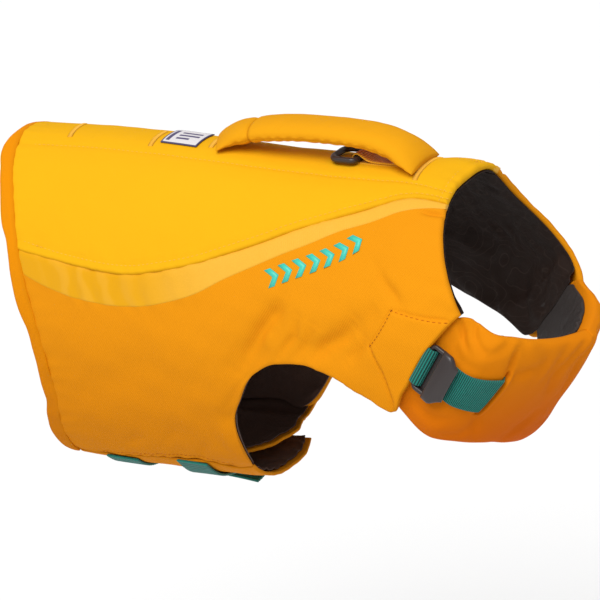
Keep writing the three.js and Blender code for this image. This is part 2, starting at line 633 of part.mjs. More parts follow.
function leashLoop() {
  const { halfWidth, clearance, wall: thickness, end, closeAt, startAngle } = RING_LOOP;
  const inside = RING.bar + clearance;
  const low = RING.z - inside;
  const turns = 9;
  const arc = (radius) => Array.from({ length: turns + 1 }, (_, k) => {
    const angle = THREE.MathUtils.degToRad(mix(startAngle, 270, k / turns));
    return new THREE.Vector2(RING.x + radius * Math.cos(angle), RING.z + radius * Math.sin(angle));
  });
  const closing = RING.x + closeAt;
  const shape = new THREE.Shape([
    ...arc(inside + thickness),
    new THREE.Vector2(end, low - thickness),
    new THREE.Vector2(end, low + thickness),
    new THREE.Vector2(closing + 2 * thickness, low + 1.3 * thickness),
  ]);
  shape.holes.push(new THREE.Path([...arc(inside), new THREE.Vector2(closing, low + 0.4)]));
  const geometry = new THREE.ExtrudeGeometry(shape, { depth: 2 * halfWidth, bevelEnabled: false });
  const place = new THREE.Matrix4().makeBasis(
    new THREE.Vector3(1, 0, 0), new THREE.Vector3(0, 0, 1), new THREE.Vector3(0, -1, 0),
  ).setPosition(0, halfWidth, 0);
  return bakeGeometry(geometry, place, 'leash_loop', ORANGE, 0.8);
}

// Woven label on the centre band
const LABEL = { t: [0.289, 0.358], theta: [-8.5, 8.0], outer: 1.2, inner: 0.5 };
function backLabel() {
  const place = (i, j) => [mix(...LABEL.t, j / 4), mix(...LABEL.theta, i / 4)];
  return panel('back_label', 4, 4, place, LABEL.outer, LABEL.inner, CREAM);
}

const jacket = new THREE.Group();
jacket.add(
  backPanel('back_panel', 0, -SHELL_WALL, YELLOW),
  backPanel('lining_back', LINING_OUTER, LINING_INNER, CHARCOAL),
  hemBinding(),
  bellyFlap('belly_flap_right', 1, RIGHT_FLAP_END, () => 0, 0, FLAP_WALL, ORANGE),
  bellyFlap('lining_flap_right', 1, RIGHT_FLAP_END - FLAP_LINING_SHORT, () => 0, FLAP_LINING, LINING_WALL, CHARCOAL),
  bellyFlap('belly_flap_left', -1, LEFT_FLAP_END, underlap, 0, FLAP_WALL, ORANGE),
  bellyFlap('lining_flap_left', -1, LEFT_FLAP_END - FLAP_LINING_SHORT, underlap, FLAP_LINING, LINING_WALL, CHARCOAL),
  chestPad(),
  chestPadLining(),
  chestLoop(),
  strap('chest_strap', STRAP_PATH, 8, WEBBING_WIDTH, WEBBING_WALL, onPad, TEAL),
  chestSlider(),
  handlePiece('handle_tab', 0, HANDLE_SEAM_ROW, -1.3 * SEAM_GAP),
  handlePiece('handle_grip', HANDLE_SEAM_ROW, HANDLE.length - 1, 0),
  leashRing(),
  leashLoop(),
  backLabel(),
  strapTail(),
);
for (const [word, side] of [['right', 1], ['left', -1]]) {
  jacket.add(
    sidePanel(`side_panel_${word}`, side),
    sideLining(`lining_${word}`, side),
    stripe(`stripe_${word}`, side),
  );
}
for (const row of BELLY_STRAPS) {
  jacket.add(bellyStrap(row), buckleTab(row), buckle(row));
}

export default jacket;
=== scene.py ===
"""Looks of a dog life jacket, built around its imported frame.

Lengths in the tables are millimetres, and meshes are in metres in the frame's own axes:
+X to the head, +Y to the wearer's left, +Z up. Cloth is laid out on one body surface in t,
0 at the tail hem and 1 at the neck, and theta, degrees round the body from the spine,
positive down the wearer's right side.
"""
import math

import bpy
import numpy as np
from bpy.props import FloatProperty, FloatVectorProperty, IntProperty, PointerProperty
from mathutils import Matrix, Vector


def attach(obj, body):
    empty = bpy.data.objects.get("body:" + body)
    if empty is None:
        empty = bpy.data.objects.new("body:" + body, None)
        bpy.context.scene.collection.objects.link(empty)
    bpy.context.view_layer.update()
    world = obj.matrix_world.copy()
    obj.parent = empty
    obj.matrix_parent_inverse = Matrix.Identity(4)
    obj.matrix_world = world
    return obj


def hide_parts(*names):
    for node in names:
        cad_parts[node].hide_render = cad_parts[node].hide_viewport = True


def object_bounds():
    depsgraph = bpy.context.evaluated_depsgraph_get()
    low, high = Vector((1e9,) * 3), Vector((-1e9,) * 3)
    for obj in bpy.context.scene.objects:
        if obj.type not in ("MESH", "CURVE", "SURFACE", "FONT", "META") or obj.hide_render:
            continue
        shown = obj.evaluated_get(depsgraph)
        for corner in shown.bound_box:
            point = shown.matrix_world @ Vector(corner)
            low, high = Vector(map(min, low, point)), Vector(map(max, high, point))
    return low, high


bl_info = {
    "name": "Dog life jacket",
    "version": (1, 0, 0),
    "blender": (4, 5, 0),
    "location": "View3D > Sidebar > Life jacket",
    "description": "Builds the cloth, webbing and stage of a dog life jacket on its packed frame",
    "category": "Object",
}

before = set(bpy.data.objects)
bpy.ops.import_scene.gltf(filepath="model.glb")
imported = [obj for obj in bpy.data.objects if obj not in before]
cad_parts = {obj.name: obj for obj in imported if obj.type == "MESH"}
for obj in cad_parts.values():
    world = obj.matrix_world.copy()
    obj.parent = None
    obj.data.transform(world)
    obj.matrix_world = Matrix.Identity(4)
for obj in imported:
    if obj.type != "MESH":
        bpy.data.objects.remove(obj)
CAD_BOX = [list(corner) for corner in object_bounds()]
JACKET = "jacket"
RING_BODY = "leash_ring"
MM = 0.001

# Body sections, evenly spaced in t: x and z at the spine, x and z at the belly, half width,
# height share of the widest place, bow, and how square the upper and lower halves are
SECTIONS = np.array([
    [-160.0, 5.0, -122.0, -210.0, 70.0, 0.50, 12.0, 1.00, 0.62],
    [-106.0, 7.0, -77.0, -211.0, 74.0, 0.50, 9.0, 1.00, 0.68],
    [-52.0, 7.0, -30.0, -211.0, 77.5, 0.51, 6.0, 1.00, 0.75],
    [2.0, 5.0, 15.0, -210.0, 80.5, 0.52, 3.0, 1.00, 0.80],
    [50.0, 3.5, 92.0, -200.0, 83.0, 0.57, 0.0, 1.00, 0.90],
    [98.0, 3.0, 172.0, -174.0, 85.0, 0.64, -5.0, 1.00, 1.00],
    [131.5, 3.3, 198.0, -147.0, 80.0, 0.62, -3.0, 1.02, 1.30],
    [162.4, -2.3, 220.0, -113.0, 69.5, 0.60, -4.0, 0.92, 1.50],
])

# Seam lines and outlines, as t and theta
BACK_SEAM = [
    (0.00, 61.6), (0.11, 65.7), (0.19, 67.0), (0.26, 66.7), (0.32, 64.3), (0.41, 59.0), (0.48, 52.7),
    (0.55, 46.0), (0.62, 39.0), (0.70, 32.3), (0.79, 27.7), (0.90, 23.7), (1.00, 23.0),
]
STRIPE_EDGE = [
    (0.00, 66.0), (0.10, 76.3), (0.19, 78.3), (0.26, 77.3), (0.32, 75.0), (0.41, 69.0), (0.48, 60.7),
    (0.56, 52.0), (0.63, 45.0), (0.70, 38.3), (0.80, 34.3), (0.94, 28.3), (1.00, 26.5),
]
# Lower outline of the side panels: t on the upper edge, then t and theta on the outline
SIDE_REAR = [
    (0.034, 0.034, 157.0), (0.100, 0.100, 153.0), (0.200, 0.200, 147.5), (0.320, 0.330, 143.5),
    (0.385, 0.405, 147.0), (0.410, 0.437, 144.0), (0.430, 0.443, 131.0), (0.450, 0.446, 116.0),
    (0.480, 0.470, 103.5), (0.510, 0.501, 92.0), (0.545, 0.545, 85.8), (0.590, 0.591, 84.3),
]
LEFT_LEG = [(0.385, 0.386, 147.0), (0.410, 0.405, 144.5), (0.430, 0.426, 132.5), (0.450, 0.442, 117.0)]
RIGHT_FRONT = [
    (0.640, 0.633, 86.7), (0.685, 0.669, 93.0), (0.720, 0.700, 101.7), (0.765, 0.741, 92.7),
    (0.820, 0.787, 88.7), (0.910, 0.880, 85.0), (0.960, 0.952, 83.0), (0.985, 0.985, 82.5),
]
LEFT_FRONT = [
    (0.640, 0.636, 89.5), (0.685, 0.680, 99.0), (0.720, 0.728, 116.0), (0.765, 0.765, 117.5),
    (0.820, 0.815, 118.0), (0.910, 0.905, 118.0), (0.960, 0.957, 118.0), (0.985, 0.985, 118.0),
]
POCKET_MOUTH = [(0.70, 101.7), (0.741, 92.7), (0.787, 88.7), (0.88, 85.0), (0.985, 82.5), (1.0, 82.3)]
LEFT_MOUTH = 118.0
LEFT_REACH = 34.0
FLAP_FRONT_T = 0.437
RIGHT_FLAP_END = 197.0
LEFT_FLAP_END = 216.0
LEFT_FLAP_FRONT = [
    (139, 0.414), (146, 0.404), (152, 0.401), (156, 0.411), (160, 0.421), (165, 0.425), (170, 0.428),
    (176, 0.423), (182, 0.414), (188, 0.402), (196, 0.388), (216, 0.372),
]
RIGHT_FLAP_FRONT = [(143, 0.437), (184, 0.437), (197, 0.426)]

# Chest pad: rear and front edge as theta and t
PAD_REAR = [
    (70, 0.760), (80, 0.740), (90, 0.715), (102, 0.703), (115, 0.712), (130, 0.745), (150, 0.765),
    (180, 0.745),
]
PAD_REAR_LEFT = [(100, 0.785), (118, 0.775), (135, 0.772), (150, 0.765), (180, 0.745)]
PAD_FRONT = [(70, 0.935), (80, 0.942), (84, 0.985), (88, 1.0), (180, 1.0)]
PAD_FROM = 71.0
PAD_TO = 360.0 - PAD_FROM - LEFT_REACH
PAD_HALF = 7.0
TONGUE_HALF = 2.05
TONGUE_CENTRE = -7.0
PAD_RISE = (4.0, 27.0)
POCKET_ROOM = 4.7

# Broad folds of the side panels: t, theta at both ends, width and depth
BROAD_FOLDS = [
    (0.554, 71, 0.480, 92, 8, 3.0), (0.480, 92, 0.440, 112, 8, 2.4), (0.637, 80, 0.690, 72, 8, 2.2),
]
# Creases of the side panels: points in t and theta, width, depth
SIDE_CREASES = [
    ([(0.580, 63), (0.566, 68), (0.546, 71.7), (0.528, 76.3), (0.512, 81.3), (0.490, 88)], 3.2, 2.9),
    ([(0.600, 69), (0.588, 75.3), (0.554, 83)], 2.2, 3.0),
    ([(0.625, 71), (0.608, 76.7), (0.576, 83.7)], 2.2, 3.0),
    ([(0.700, 68), (0.668, 73.3), (0.634, 77), (0.598, 83.5)], 3.2, 3.8),
    ([(0.705, 74), (0.694, 76.3), (0.660, 81)], 2.4, 2.8),
    ([(0.775, 53), (0.79, 58.3), (0.832, 68)], 4.5, 2.2),
    ([(0.762, 64), (0.714, 70.3), (0.686, 73.3)], 6.0, 2.3),
    ([(0.900, 29.4), (0.930, 30.6), (0.992, 30.8)], 2.4, 3.2),
    ([(0.150, 140), (0.216, 129.3)], 4.0, 1.1),
    ([(0.255, 134), (0.304, 122.7)], 4.0, 1.0),
    ([(0.335, 138), (0.372, 128)], 4.0, 1.1),
    ([(0.600, 86), (0.640, 80)], 3.0, -1.3),
    ([(0.548, 75), (0.530, 82)], 3.0, -1.4),
    ([(0.433, 139), (0.425, 122), (0.432, 108), (0.452, 97)], 5.0, -1.4),
]
# Tail hem: where its inner edge and its fold lie, as theta and t
HEM_SEAM = [
    (0, 0.015), (14, 0.016), (29, 0.020), (45, 0.025), (60, 0.024), (77, 0.025), (97, 0.029), (119, 0.026),
    (130, 0.014), (148, 0.006), (157, 0.008),
]
HEM_FOLD = [
    (0, -0.001), (8, -0.004), (19, -0.012), (25, -0.013), (32, -0.008), (55, -0.008), (61, -0.003),
    (74, -0.008), (85, -0.009), (92, -0.002), (103, -0.002), (119, -0.007), (127, -0.017),
    (137, -0.028), (145, -0.028), (157, -0.012),
]
# Section of the hem binding: share of the way from its fold to its seam, and level
HEM_PROFILE = np.array([
    (0.99, -2.0), (1.00, -0.8), (0.99, 0.1), (0.93, 0.45), (0.72, 0.60), (0.45, 0.62), (0.20, 0.50),
    (0.06, 0.0), (0.00, -1.0), (-0.02, -2.4), (0.01, -3.9), (0.10, -5.6), (0.28, -6.9), (0.52, -7.4),
    (0.80, -7.4), (0.99, -6.9),
])
# How far the neck edge of the left side stands forward, as theta and t
LEFT_NECK_LIP = [(-118, 0.020), (-90, 0.016), (-50, 0.012), (-15, 0.012), (8, 0.0)]
# How far the chest pad's front lip reaches past the neck edge, as theta and t
PAD_LIP = [
    (70, 0.0), (84, 0.0), (88, 0.005), (92, 0.014), (98, 0.022), (104, 0.030), (110, 0.041), (116, 0.052),
    (122, 0.058), (135, 0.068), (160, 0.083), (180, 0.090), (205, 0.087), (222, 0.072),
    (236, 0.044), (256, 0.008),
]
# Raised patch of cloth at the pocket, as a ring of t and theta
POCKET_PATCH = [
    (0.938, 80.5), (0.796, 68.0), (0.714, 76.0), (0.718, 81.0), (0.720, 84.3), (0.714, 94.7),
    (0.700, 104.0), (0.741, 95.0), (0.787, 91.0), (0.88, 87.5), (0.960, 85.5),
]

# Creases of the pad: points in t and theta, width, depth
PAD_CREASES = [
    ([(0.975, 83.5), (0.960, 92), (0.952, 101)], 3.0, 2.0),
    ([(1.012, 88.0), (0.990, 97), (0.985, 108)], 3.5, 1.8),
    ([(0.930, 90.0), (0.925, 100), (0.945, 112)], 5.0, 1.4),
    ([(1.040, 119.5), (0.995, 123.0), (0.966, 124.6)], 2.8, 2.4),
    ([(0.966, 126.0), (0.990, 134), (1.020, 141)], 5.0, 1.8),
    ([(0.855, 125.5), (0.815, 129), (0.790, 133)], 4.0, 2.0),
    ([(0.740, 99), (0.760, 108), (0.800, 116)], 4.0, 1.8),
    ([(0.745, 118), (0.775, 126), (0.820, 128)], 4.0, 1.2),
    ([(0.780, 150), (0.850, 158), (0.900, 160)], 6.0, 1.6),
    ([(1.030, 150), (0.960, 156), (0.930, 158)], 5.0, 1.8),
    ([(1.030, 168), (0.960, 171), (0.930, 172)], 5.0, 1.6),
    ([(0.800, 176), (0.860, 186), (0.900, 188)], 6.0, 1.4),
]
# Slit in the pad where the chest strap goes in
SLIT = [(0.970, 125.2), (0.915, 125.2), (0.854, 124.5)]
# Stitched lines of the side panels and the back, as t and theta
POCKET_SEAM = [(0.938, 81.3), (0.796, 68.0)], [(0.714, 76.0), (0.718, 81.0), (0.720, 84.3), (0.714, 94.7)]
POCKET_TACK = [(0.796, 68.0), (0.714, 76.0)]
CENTRE_BANDS = [
    [(0.862, -13.0), (0.862, 13.0)], [(0.374, -7.5), (0.382, 6.0)], [(0.104, -8.5), (0.112, 9.7)],
    [(0.272, -5.0), (0.274, 10.7)],
]
CHEVRON_LINE = [(0.563, 57.7), (0.727, 43.0)]

# Pieces on the pad, as t and theta over its face
SLIDER = {"t": 0.857, "theta": 98.8, "t_end": 0.875, "theta_end": 105.8, "lift": 3.2}
RIB_PITCH = 1.5
STRAP_PATCH = [(0.908, 97.8), (0.828, 104.0), (0.961, 124.8), (0.864, 124.2)]
BELLY_STRAPS = {"rear": (0.120, -127.0), "front": (0.300, -125.0)}
BUCKLE_OVERLAP = 5.0
BUCKLE_LIFT = 2.7
TAB_END = 33.0
TAIL = {"start": -146.0, "end": -178.5, "above": 2.1, "drop": 13.5}

# Handle: x, centre height, half width and half height
HANDLE = np.array([
    [-8.0, 8.2, 14.0, 1.8], [-2.0, 11.2, 14.5, 4.0], [7.0, 14.6, 15.0, 6.4], [16.0, 17.0, 15.0, 7.0],
    [24.0, 18.8, 15.0, 7.2], [37.0, 20.4, 15.0, 7.2], [52.0, 21.3, 15.0, 7.2], [70.0, 21.4, 15.0, 7.2],
    [86.0, 20.8, 15.0, 7.2], [100.0, 19.2, 15.0, 7.4], [112.0, 16.2, 15.5, 7.4], [121.0, 13.0, 16.0, 6.4],
    [128.0, 9.4, 16.0, 4.4], [132.0, 6.6, 16.0, 2.2],
])
HANDLE_SEAM_X = 16.0
# Degrees round the handle at which its two long seams lie
HANDLE_SEAMS = (205, 335)
# How far the handle's rear foot runs further back on its left edge
HANDLE_SKEW = 12.0
RING = {"x": 88.0, "z": 6.6, "length": 16.5, "half_width": 10.5, "bar": 2.0, "corner": 6.0}
LABEL_T = (0.289, 0.358)
LABEL_THETA = (-8.5, 8.0)

# Walls and levels, and the ends of the panels
CENTRE_LINE = 20.0
SHELL = 4.5
LINING_OUTER = -4.8
LINING_INNER = -5.8
FLAP_WALL = 2.4
LEG_THINNING = 2.7
NECK_T = 0.985
TAIL_T = 0.034
# Degrees by which one panel runs under the next at a lapped seam
LAP = 1.7
# Rear bar of the slider, in its own lengthwise axis
SLIDER_BAR = -11.0
# The chest loop over that bar, as lengthwise place from the bar and height
LOOP_OVER_BAR = [
    (-9.0, -4.2), (-7.0, -1.2), (-4.6, 1.8), (-2.4, 3.6), (0.0, 4.4), (2.0, 4.0), (3.1, 2.8), (3.5, 1.0),
    (3.6, -0.4),
]
# Webbing: width, wall and the rounding of its edges
STRAP_WIDTH = 25.0
TAPE_WALL = 1.6
TAPE_ROUND = 0.8
# Folded tapes, as half width, half wall, rib height and pitch, edge rounding and columns across
CHEST_LOOP = {"half_width": 12.5, "half_wall": 0.8, "ribs": 0.15, "pitch": RIB_PITCH, "round": 0.8,
              "across": 20}
LEASH_LOOP = {"half_width": 6.4, "half_wall": 0.55, "ribs": 0.07, "pitch": 1.3, "round": 0.5, "across": 10,
              "slack": 0.5}
# Bars of the label: place across it, then from and to along it
LABEL_BARS = ((0.30, 0.30, 0.86), (0.50, 0.30, 0.86), (0.70, 0.30, 0.66))
# Ends of the hem binding, in degrees on both sides of the spine
HEM_END = 156
# Distance of the stitching from the neck edge
NECK_STITCHING = 9
# Where the light comes from
LIGHT_FROM = Vector((0.12, -0.58, 0.86))
# The studio floor's half side and points along a side
FLOOR_HALF = 30000
FLOOR_POINTS = 25

# Round sizes of the body, for distances on its surface
LENGTH_PER_T = 330.0
ARC_PER_DEGREE = 1.45

# The photograph's camera, in degrees and metres. FRAME_WIDTH is the picture's width at the target
CAMERA_AZIMUTH = 31.2
CAMERA_ELEVATION = 21.0
CAMERA_ROLL = 5.7
CAMERA_DISTANCE = 2.6
CAMERA_TARGET = Vector((0.0335, 0.0, -0.0949))
FRAME_WIDTH = 0.378
SENSOR = 36.0


def smoothstep(low, high, x):
    s = np.clip((x - low) / (high - low), 0.0, 1.0)
    return s * s * (3.0 - 2.0 * s)


def mix(a, b, s):
    return a + (b - a) * s


def lookup(rows, x):
    """Hermite curve through rows of key and value."""
    table = np.array(rows, float)
    keys, values = table[:, 0], table[:, 1]
    last = len(keys) - 1
    x = np.asarray(x, float)
    i = np.clip(np.searchsorted(keys, x, side="left") - 1, 0, last - 1)
    low = np.maximum(np.arange(last + 1) - 1, 0)
    high = np.minimum(np.arange(last + 1) + 1, last)
    slope = (values[high] - values[low]) / (keys[high] - keys[low])
    span = keys[i + 1] - keys[i]
    s = np.clip((x - keys[i]) / span, 0.0, 1.0)
    return ((2 * s**3 - 3 * s**2 + 1) * values[i] + (s**3 - 2 * s**2 + s) * span * slope[i]
            + (3 * s**2 - 2 * s**3) * values[i + 1] + (s**3 - s**2) * span * slope[i + 1])


def section(t):
    """The row of SECTIONS at t, along a smooth curve through the rows."""
    last = len(SECTIONS) - 1
    i = np.clip(np.floor(t * last).astype(int), 0, last - 1)
    f = (t * last - i)[..., None]
    p1, p2 = SECTIONS[i], SECTIONS[i + 1]
    p0 = np.where((i > 0)[..., None], SECTIONS[np.maximum(i - 1, 0)], 2 * p1 - p2)
    p3 = np.where((i < last - 1)[..., None], SECTIONS[np.minimum(i + 2, last)], 2 * p2 - p1)
    return 0.5 * (2 * p1 + (p2 - p0) * f + (2 * p0 - 5 * p1 + 4 * p2 - p3) * f**2
                  + (3 * p1 - p0 - 3 * p2 + p3) * f**3)


def body(t, theta):
    """The body surface: its point in millimetres at t and theta."""
    t, theta = np.broadcast_arrays(np.asarray(t, float), np.asarray(theta, float))
    row = section(t)
    angle = np.radians(theta)
    cosine, sine = np.cos(angle), np.sin(angle)
    widest = row[..., 5]
    drop = np.where(cosine > 0, widest * (1 - cosine), widest - (1 - widest) * cosine)
    fall = np.where(cosine > 0, row[..., 7], row[..., 8])
    x = mix(row[..., 0], row[..., 2], drop) + row[..., 6] * np.sin(math.pi * np.clip(drop, 0, 1))
    y = -np.sign(sine) * row[..., 4] * np.abs(sine) ** fall
    return np.stack([x, y, mix(row[..., 1], row[..., 3], drop)], -1)


def unit(vectors):
    return vectors / np.maximum(np.linalg.norm(vectors, axis=-1, keepdims=True), 1e-9)


def body_normal(t, theta):
    along_t = body(t + 0.002, theta) - body(t - 0.002, theta)
    along_theta = body(t, theta + 0.6) - body(t, theta - 0.6)
    return unit(np.cross(along_theta, along_t))


def broad_folds(t, theta):
    depth = np.zeros(np.broadcast(t, theta).shape)
    for t0, h0, t1, h1, width, fold in BROAD_FOLDS:
        distance, _ = stroke_distance(t, np.abs(theta), [(t0, h0), (t1, h1)])
        depth = np.maximum(depth, fold * np.exp(-(distance / width) ** 2))
    return depth


def stroke_distance(t, theta, points):
    """Distance in millimetres to a line of t and theta, and the share along it."""
    x, y = np.asarray(t) * LENGTH_PER_T, np.asarray(theta) * ARC_PER_DEGREE
    corners = np.array(points, float) * (LENGTH_PER_T, ARC_PER_DEGREE)
    lengths = np.linalg.norm(np.diff(corners, axis=0), axis=1)
    total = lengths.sum()
    best = np.full(np.broadcast(x, y).shape, 1e9)
    share = np.zeros_like(best)
    start = 0.0
    for a, b, length in zip(corners[:-1], corners[1:], lengths):
        run = (b - a) / length
        s = np.clip((x - a[0]) * run[0] + (y - a[1]) * run[1], 0, length)
        distance = np.hypot(x - a[0] - s * run[0], y - a[1] - s * run[1])
        closer = distance < best
        best = np.where(closer, distance, best)
        share = np.where(closer, (start + s) / total, share)
        start += length
    return best, share


def creases(t, theta, strokes):
    """Level of a set of creases: each sinks along its line and fades at its ends."""
    level = np.zeros(np.broadcast(t, theta).shape)
    for points, width, depth in strokes:
        distance, share = stroke_distance(t, theta, points)
        fade = np.sin(math.pi * np.clip(share, 0.04, 0.96)) ** 0.6
        level -= depth * fade * np.exp(-(distance / width) ** 2)
    return level


def inside_ring(t, theta, ring):
    """Distance in millimetres into a closed ring of t and theta, negative outside."""
    distance, _ = stroke_distance(t, theta, ring + ring[:1])
    x, y = np.asarray(t) * LENGTH_PER_T, np.asarray(theta) * ARC_PER_DEGREE
    corners = np.array(ring) * (LENGTH_PER_T, ARC_PER_DEGREE)
    inside = np.zeros(distance.shape, bool)
    for (x0, y0), (x1, y1) in zip(corners, np.roll(corners, -1, axis=0)):
        crosses = (y0 > y) != (y1 > y)
        at = x0 + (y - y0) * (x1 - x0) / (y1 - y0 if y1 != y0 else 1e-9)
        inside ^= crosses & (x < at)
    return np.where(inside, distance, -distance)


def soft_noise(points, size, seed):
    """Smooth seeded noise of about -1 to 1 on points in millimetres."""
    rng = np.random.default_rng(seed)
    total = np.zeros(points.shape[:-1])
    for _ in range(9):
        direction = rng.normal(size=3)
        direction /= np.linalg.norm(direction)
        wave = 2 * math.pi / (size * rng.uniform(0.7, 1.6))
        total += np.sin(points @ direction * wave + rng.uniform(0, 2 * math.pi))
    return total / 3.6


def shoulder_sag(t, theta):
    """Towards the neck the empty jacket's left shoulder sinks, and its nape stands up."""
    sink = 4.6 * np.exp(-((theta + 56) / 28) ** 2) * smoothstep(0.74, 0.98, t)
    return sink - 6.2 * np.exp(-((theta + 17) / 16) ** 2) * smoothstep(0.78, 0.95, t)


def skin(t, theta, level):
    sunk = broad_folds(t, theta) + shoulder_sag(t, theta)
    return body(t, theta) + body_normal(t, theta) * (level - sunk)[..., None]


def to_edges(t, theta):
    """Moves a panel's tail edge into the hem binding, and its left neck edge forward."""
    start = mix(lookup(HEM_FOLD, np.abs(theta)), lookup(HEM_SEAM, np.abs(theta)), 0.35)
    t = t - (TAIL_T - start) * (1 - smoothstep(TAIL_T, 0.13, t))
    return t + lookup(LEFT_NECK_LIP, theta) * smoothstep(0.90, NECK_T, t)


def under_hem(t, theta):
    """1 where a panel lies inside the hem binding."""
    seam = lookup(HEM_SEAM, np.abs(theta))
    return 1 - smoothstep(seam - 0.004, seam + 0.001, t)


def lining_drop(t, theta):
    """How far the lining stands off behind the pocket."""
    turn = np.abs(theta) - np.where(theta < 0, LEFT_REACH, 0.0)
    neck = smoothstep(0.955, 0.985, t) * (1 - smoothstep(72, 80, turn))
    return POCKET_ROOM * smoothstep(52, 63, turn) * smoothstep(0.62, 0.70, t) * (1 - neck)


def pad_ends(theta):
    """Rear and front edge of the chest pad, as t."""
    right = theta <= 180
    turn = np.where(right, theta, 360 - theta)
    rear = np.where(right, lookup(PAD_REAR, turn), lookup(PAD_REAR_LEFT, turn))
    front = lookup(PAD_FRONT, np.where(right, turn, turn - LEFT_REACH))
    return rear, front


def pad_swell(t, theta):
    """0 in the pocket and 1 where the pad is fully stuffed."""
    right = theta <= 180
    mouth = np.where(right, lookup(POCKET_MOUTH, np.clip(t, 0.7, 1.0)), LEFT_MOUTH)
    return smoothstep(mouth + PAD_RISE[0], mouth + PAD_RISE[1], np.where(right, theta, 360 - theta))


def underlap(theta):
    """Level of the left flap, which swings in under the right one."""
    turn = np.abs(theta)
    return -15.0 * smoothstep(148, 163, turn) + 6.0 * smoothstep(185, LEFT_FLAP_END, turn)


def seam_at(t):
    return lookup(BACK_SEAM, t)


def stripe_at(t):
    return lookup(STRIPE_EDGE, t)


def cumulated(points, axis):
    """Length run up to each point along an axis of the array."""
    steps = np.linalg.norm(np.diff(points, axis=axis), axis=-1)
    start = np.zeros_like(np.take(steps, [0], axis=axis))
    return np.concatenate([start, np.cumsum(steps, axis=axis)], axis=axis)


# Lengths along the body and round it, for laying the weave out without stretch
LAID_T = np.linspace(-0.06, 1.06, 57)
LAID_THETA = np.linspace(0.0, 260.0, 261)
LAID_GRID = body(LAID_T[:, None], LAID_THETA[None, :])
LAID_RUN = cumulated(LAID_GRID, 0)
LAID_ARC = cumulated(LAID_GRID, 1)


def laid_out(t, theta):
    """Millimetres along the body and round it at a place."""
    x = (np.clip(t, LAID_T[0], LAID_T[-1]) - LAID_T[0]) / (LAID_T[1] - LAID_T[0])
    y = np.clip(np.abs(theta), 0, LAID_THETA[-1])
    i = np.clip(x.astype(int), 0, len(LAID_T) - 2)
    j = np.clip(y.astype(int), 0, len(LAID_THETA) - 2)
    fx, fy = x - i, y - j

    def at(grid):
        low = mix(grid[i, j], grid[i, j + 1], fy)
        high = mix(grid[i + 1, j], grid[i + 1, j + 1], fy)
        return mix(low, high, fx)

    return np.stack([at(LAID_RUN), at(LAID_ARC) * np.where(theta < 0, -1, 1)], -1)


def smooth_rows(rows, shares):
    """Curve through rows by their distance on the body, which never overshoots a row."""
    rows = np.array(rows, float)
    steps = np.hypot(np.diff(rows[:, -2]) * LENGTH_PER_T, np.diff(rows[:, -1]) * ARC_PER_DEGREE)
    keys = np.concatenate([[0], np.cumsum(steps)])
    x = np.asarray(shares) * keys[-1]
    i = np.clip(np.searchsorted(keys, x, side="right") - 1, 0, len(keys) - 2)
    h = steps[i]
    s = (x - keys[i]) / h
    result = []
    for y in rows.T:
        d = np.diff(y) / steps
        m = np.concatenate([[d[0]], np.zeros(len(d) - 1), [d[-1]]])
        same = d[:-1] * d[1:] > 0
        m[1:-1][same] = 2 * d[:-1][same] * d[1:][same] / (d[:-1][same] + d[1:][same])
        result.append((2 * s**3 - 3 * s**2 + 1) * y[i] + (s**3 - 2 * s**2 + s) * h * m[i]
                      + (3 * s**2 - 2 * s**3) * y[i + 1] + (s**3 - s**2) * h * m[i + 1])
    return result


EDGE_STEPS = np.array([0.0, 0.18, 0.55, 1.1, 1.8, 2.6])


def edge_shares(length, count):
    """Shares of a length with fine steps at both ends, for each length in an array."""
    length = np.maximum(np.asarray(length, float), 4 * EDGE_STEPS[-1])
    near = EDGE_STEPS[:, None] / length.reshape(1, -1)
    middle = mix(near[-1], 1 - near[-1], np.linspace(0, 1, count + 2)[1:-1, None])
    return np.concatenate([near, middle, 1 - near[::-1]])


def place_grid(upper, lower, rows, columns):
    """Grid of t and theta, ruled between two curves that are functions of a share."""
    rough = np.linspace(0, 1, 60)
    (t0, h0), (t1, h1) = upper(rough), lower(rough)
    run = cumulated(body((t0 + t1) / 2, (h0 + h1) / 2), 0)[-1]
    u = edge_shares(run, columns)[:, 0]
    (t0, h0), (t1, h1) = upper(u), lower(u)
    s = np.linspace(0, 1, 12)[:, None]
    lengths = cumulated(body(mix(t0, t1, s), mix(h0, h1, s)), 0)[-1]
    s = edge_shares(lengths, rows)
    return mix(t0, t1, s), mix(h0, h1, s)


def rounded(share):
    """Share of the full thickness at a share of the way in from a rounded edge."""
    return np.sqrt(1 - (1 - np.clip(share, 0, 1)) ** 2)


def edge_distance(points):
    """Distance of each grid point from the grid's border."""
    along = cumulated(points, 0)
    across = cumulated(points, 1)
    rows = np.minimum(along, along[-1:] - along)
    columns = np.minimum(across, across[:, -1:] - across)
    return np.minimum(rows, columns)


def rumple(points, strength, seed, size=46.0):
    """Uneven cloth: broad waves with finer ones on them."""
    return strength * (soft_noise(points, size, seed) + 0.35 * soft_noise(points, size * 0.34, seed + 1))


def quads(index):
    corners = [index[:-1, :-1], index[1:, :-1], index[1:, 1:], index[:-1, 1:]]
    return np.stack([c.reshape(-1) for c in corners], -1)


def facing_out(points, faces):
    """Turns the quads of a closed mesh so that they face outwards."""
    p = points - points.mean(axis=0)
    a, b, c, d = (p[faces[:, k]] for k in range(4))
    volume = np.einsum("ij,ij->", a, np.cross(b, c)) + np.einsum("ij,ij->", a, np.cross(c, d))
    return faces if volume > 0 else faces[:, ::-1]


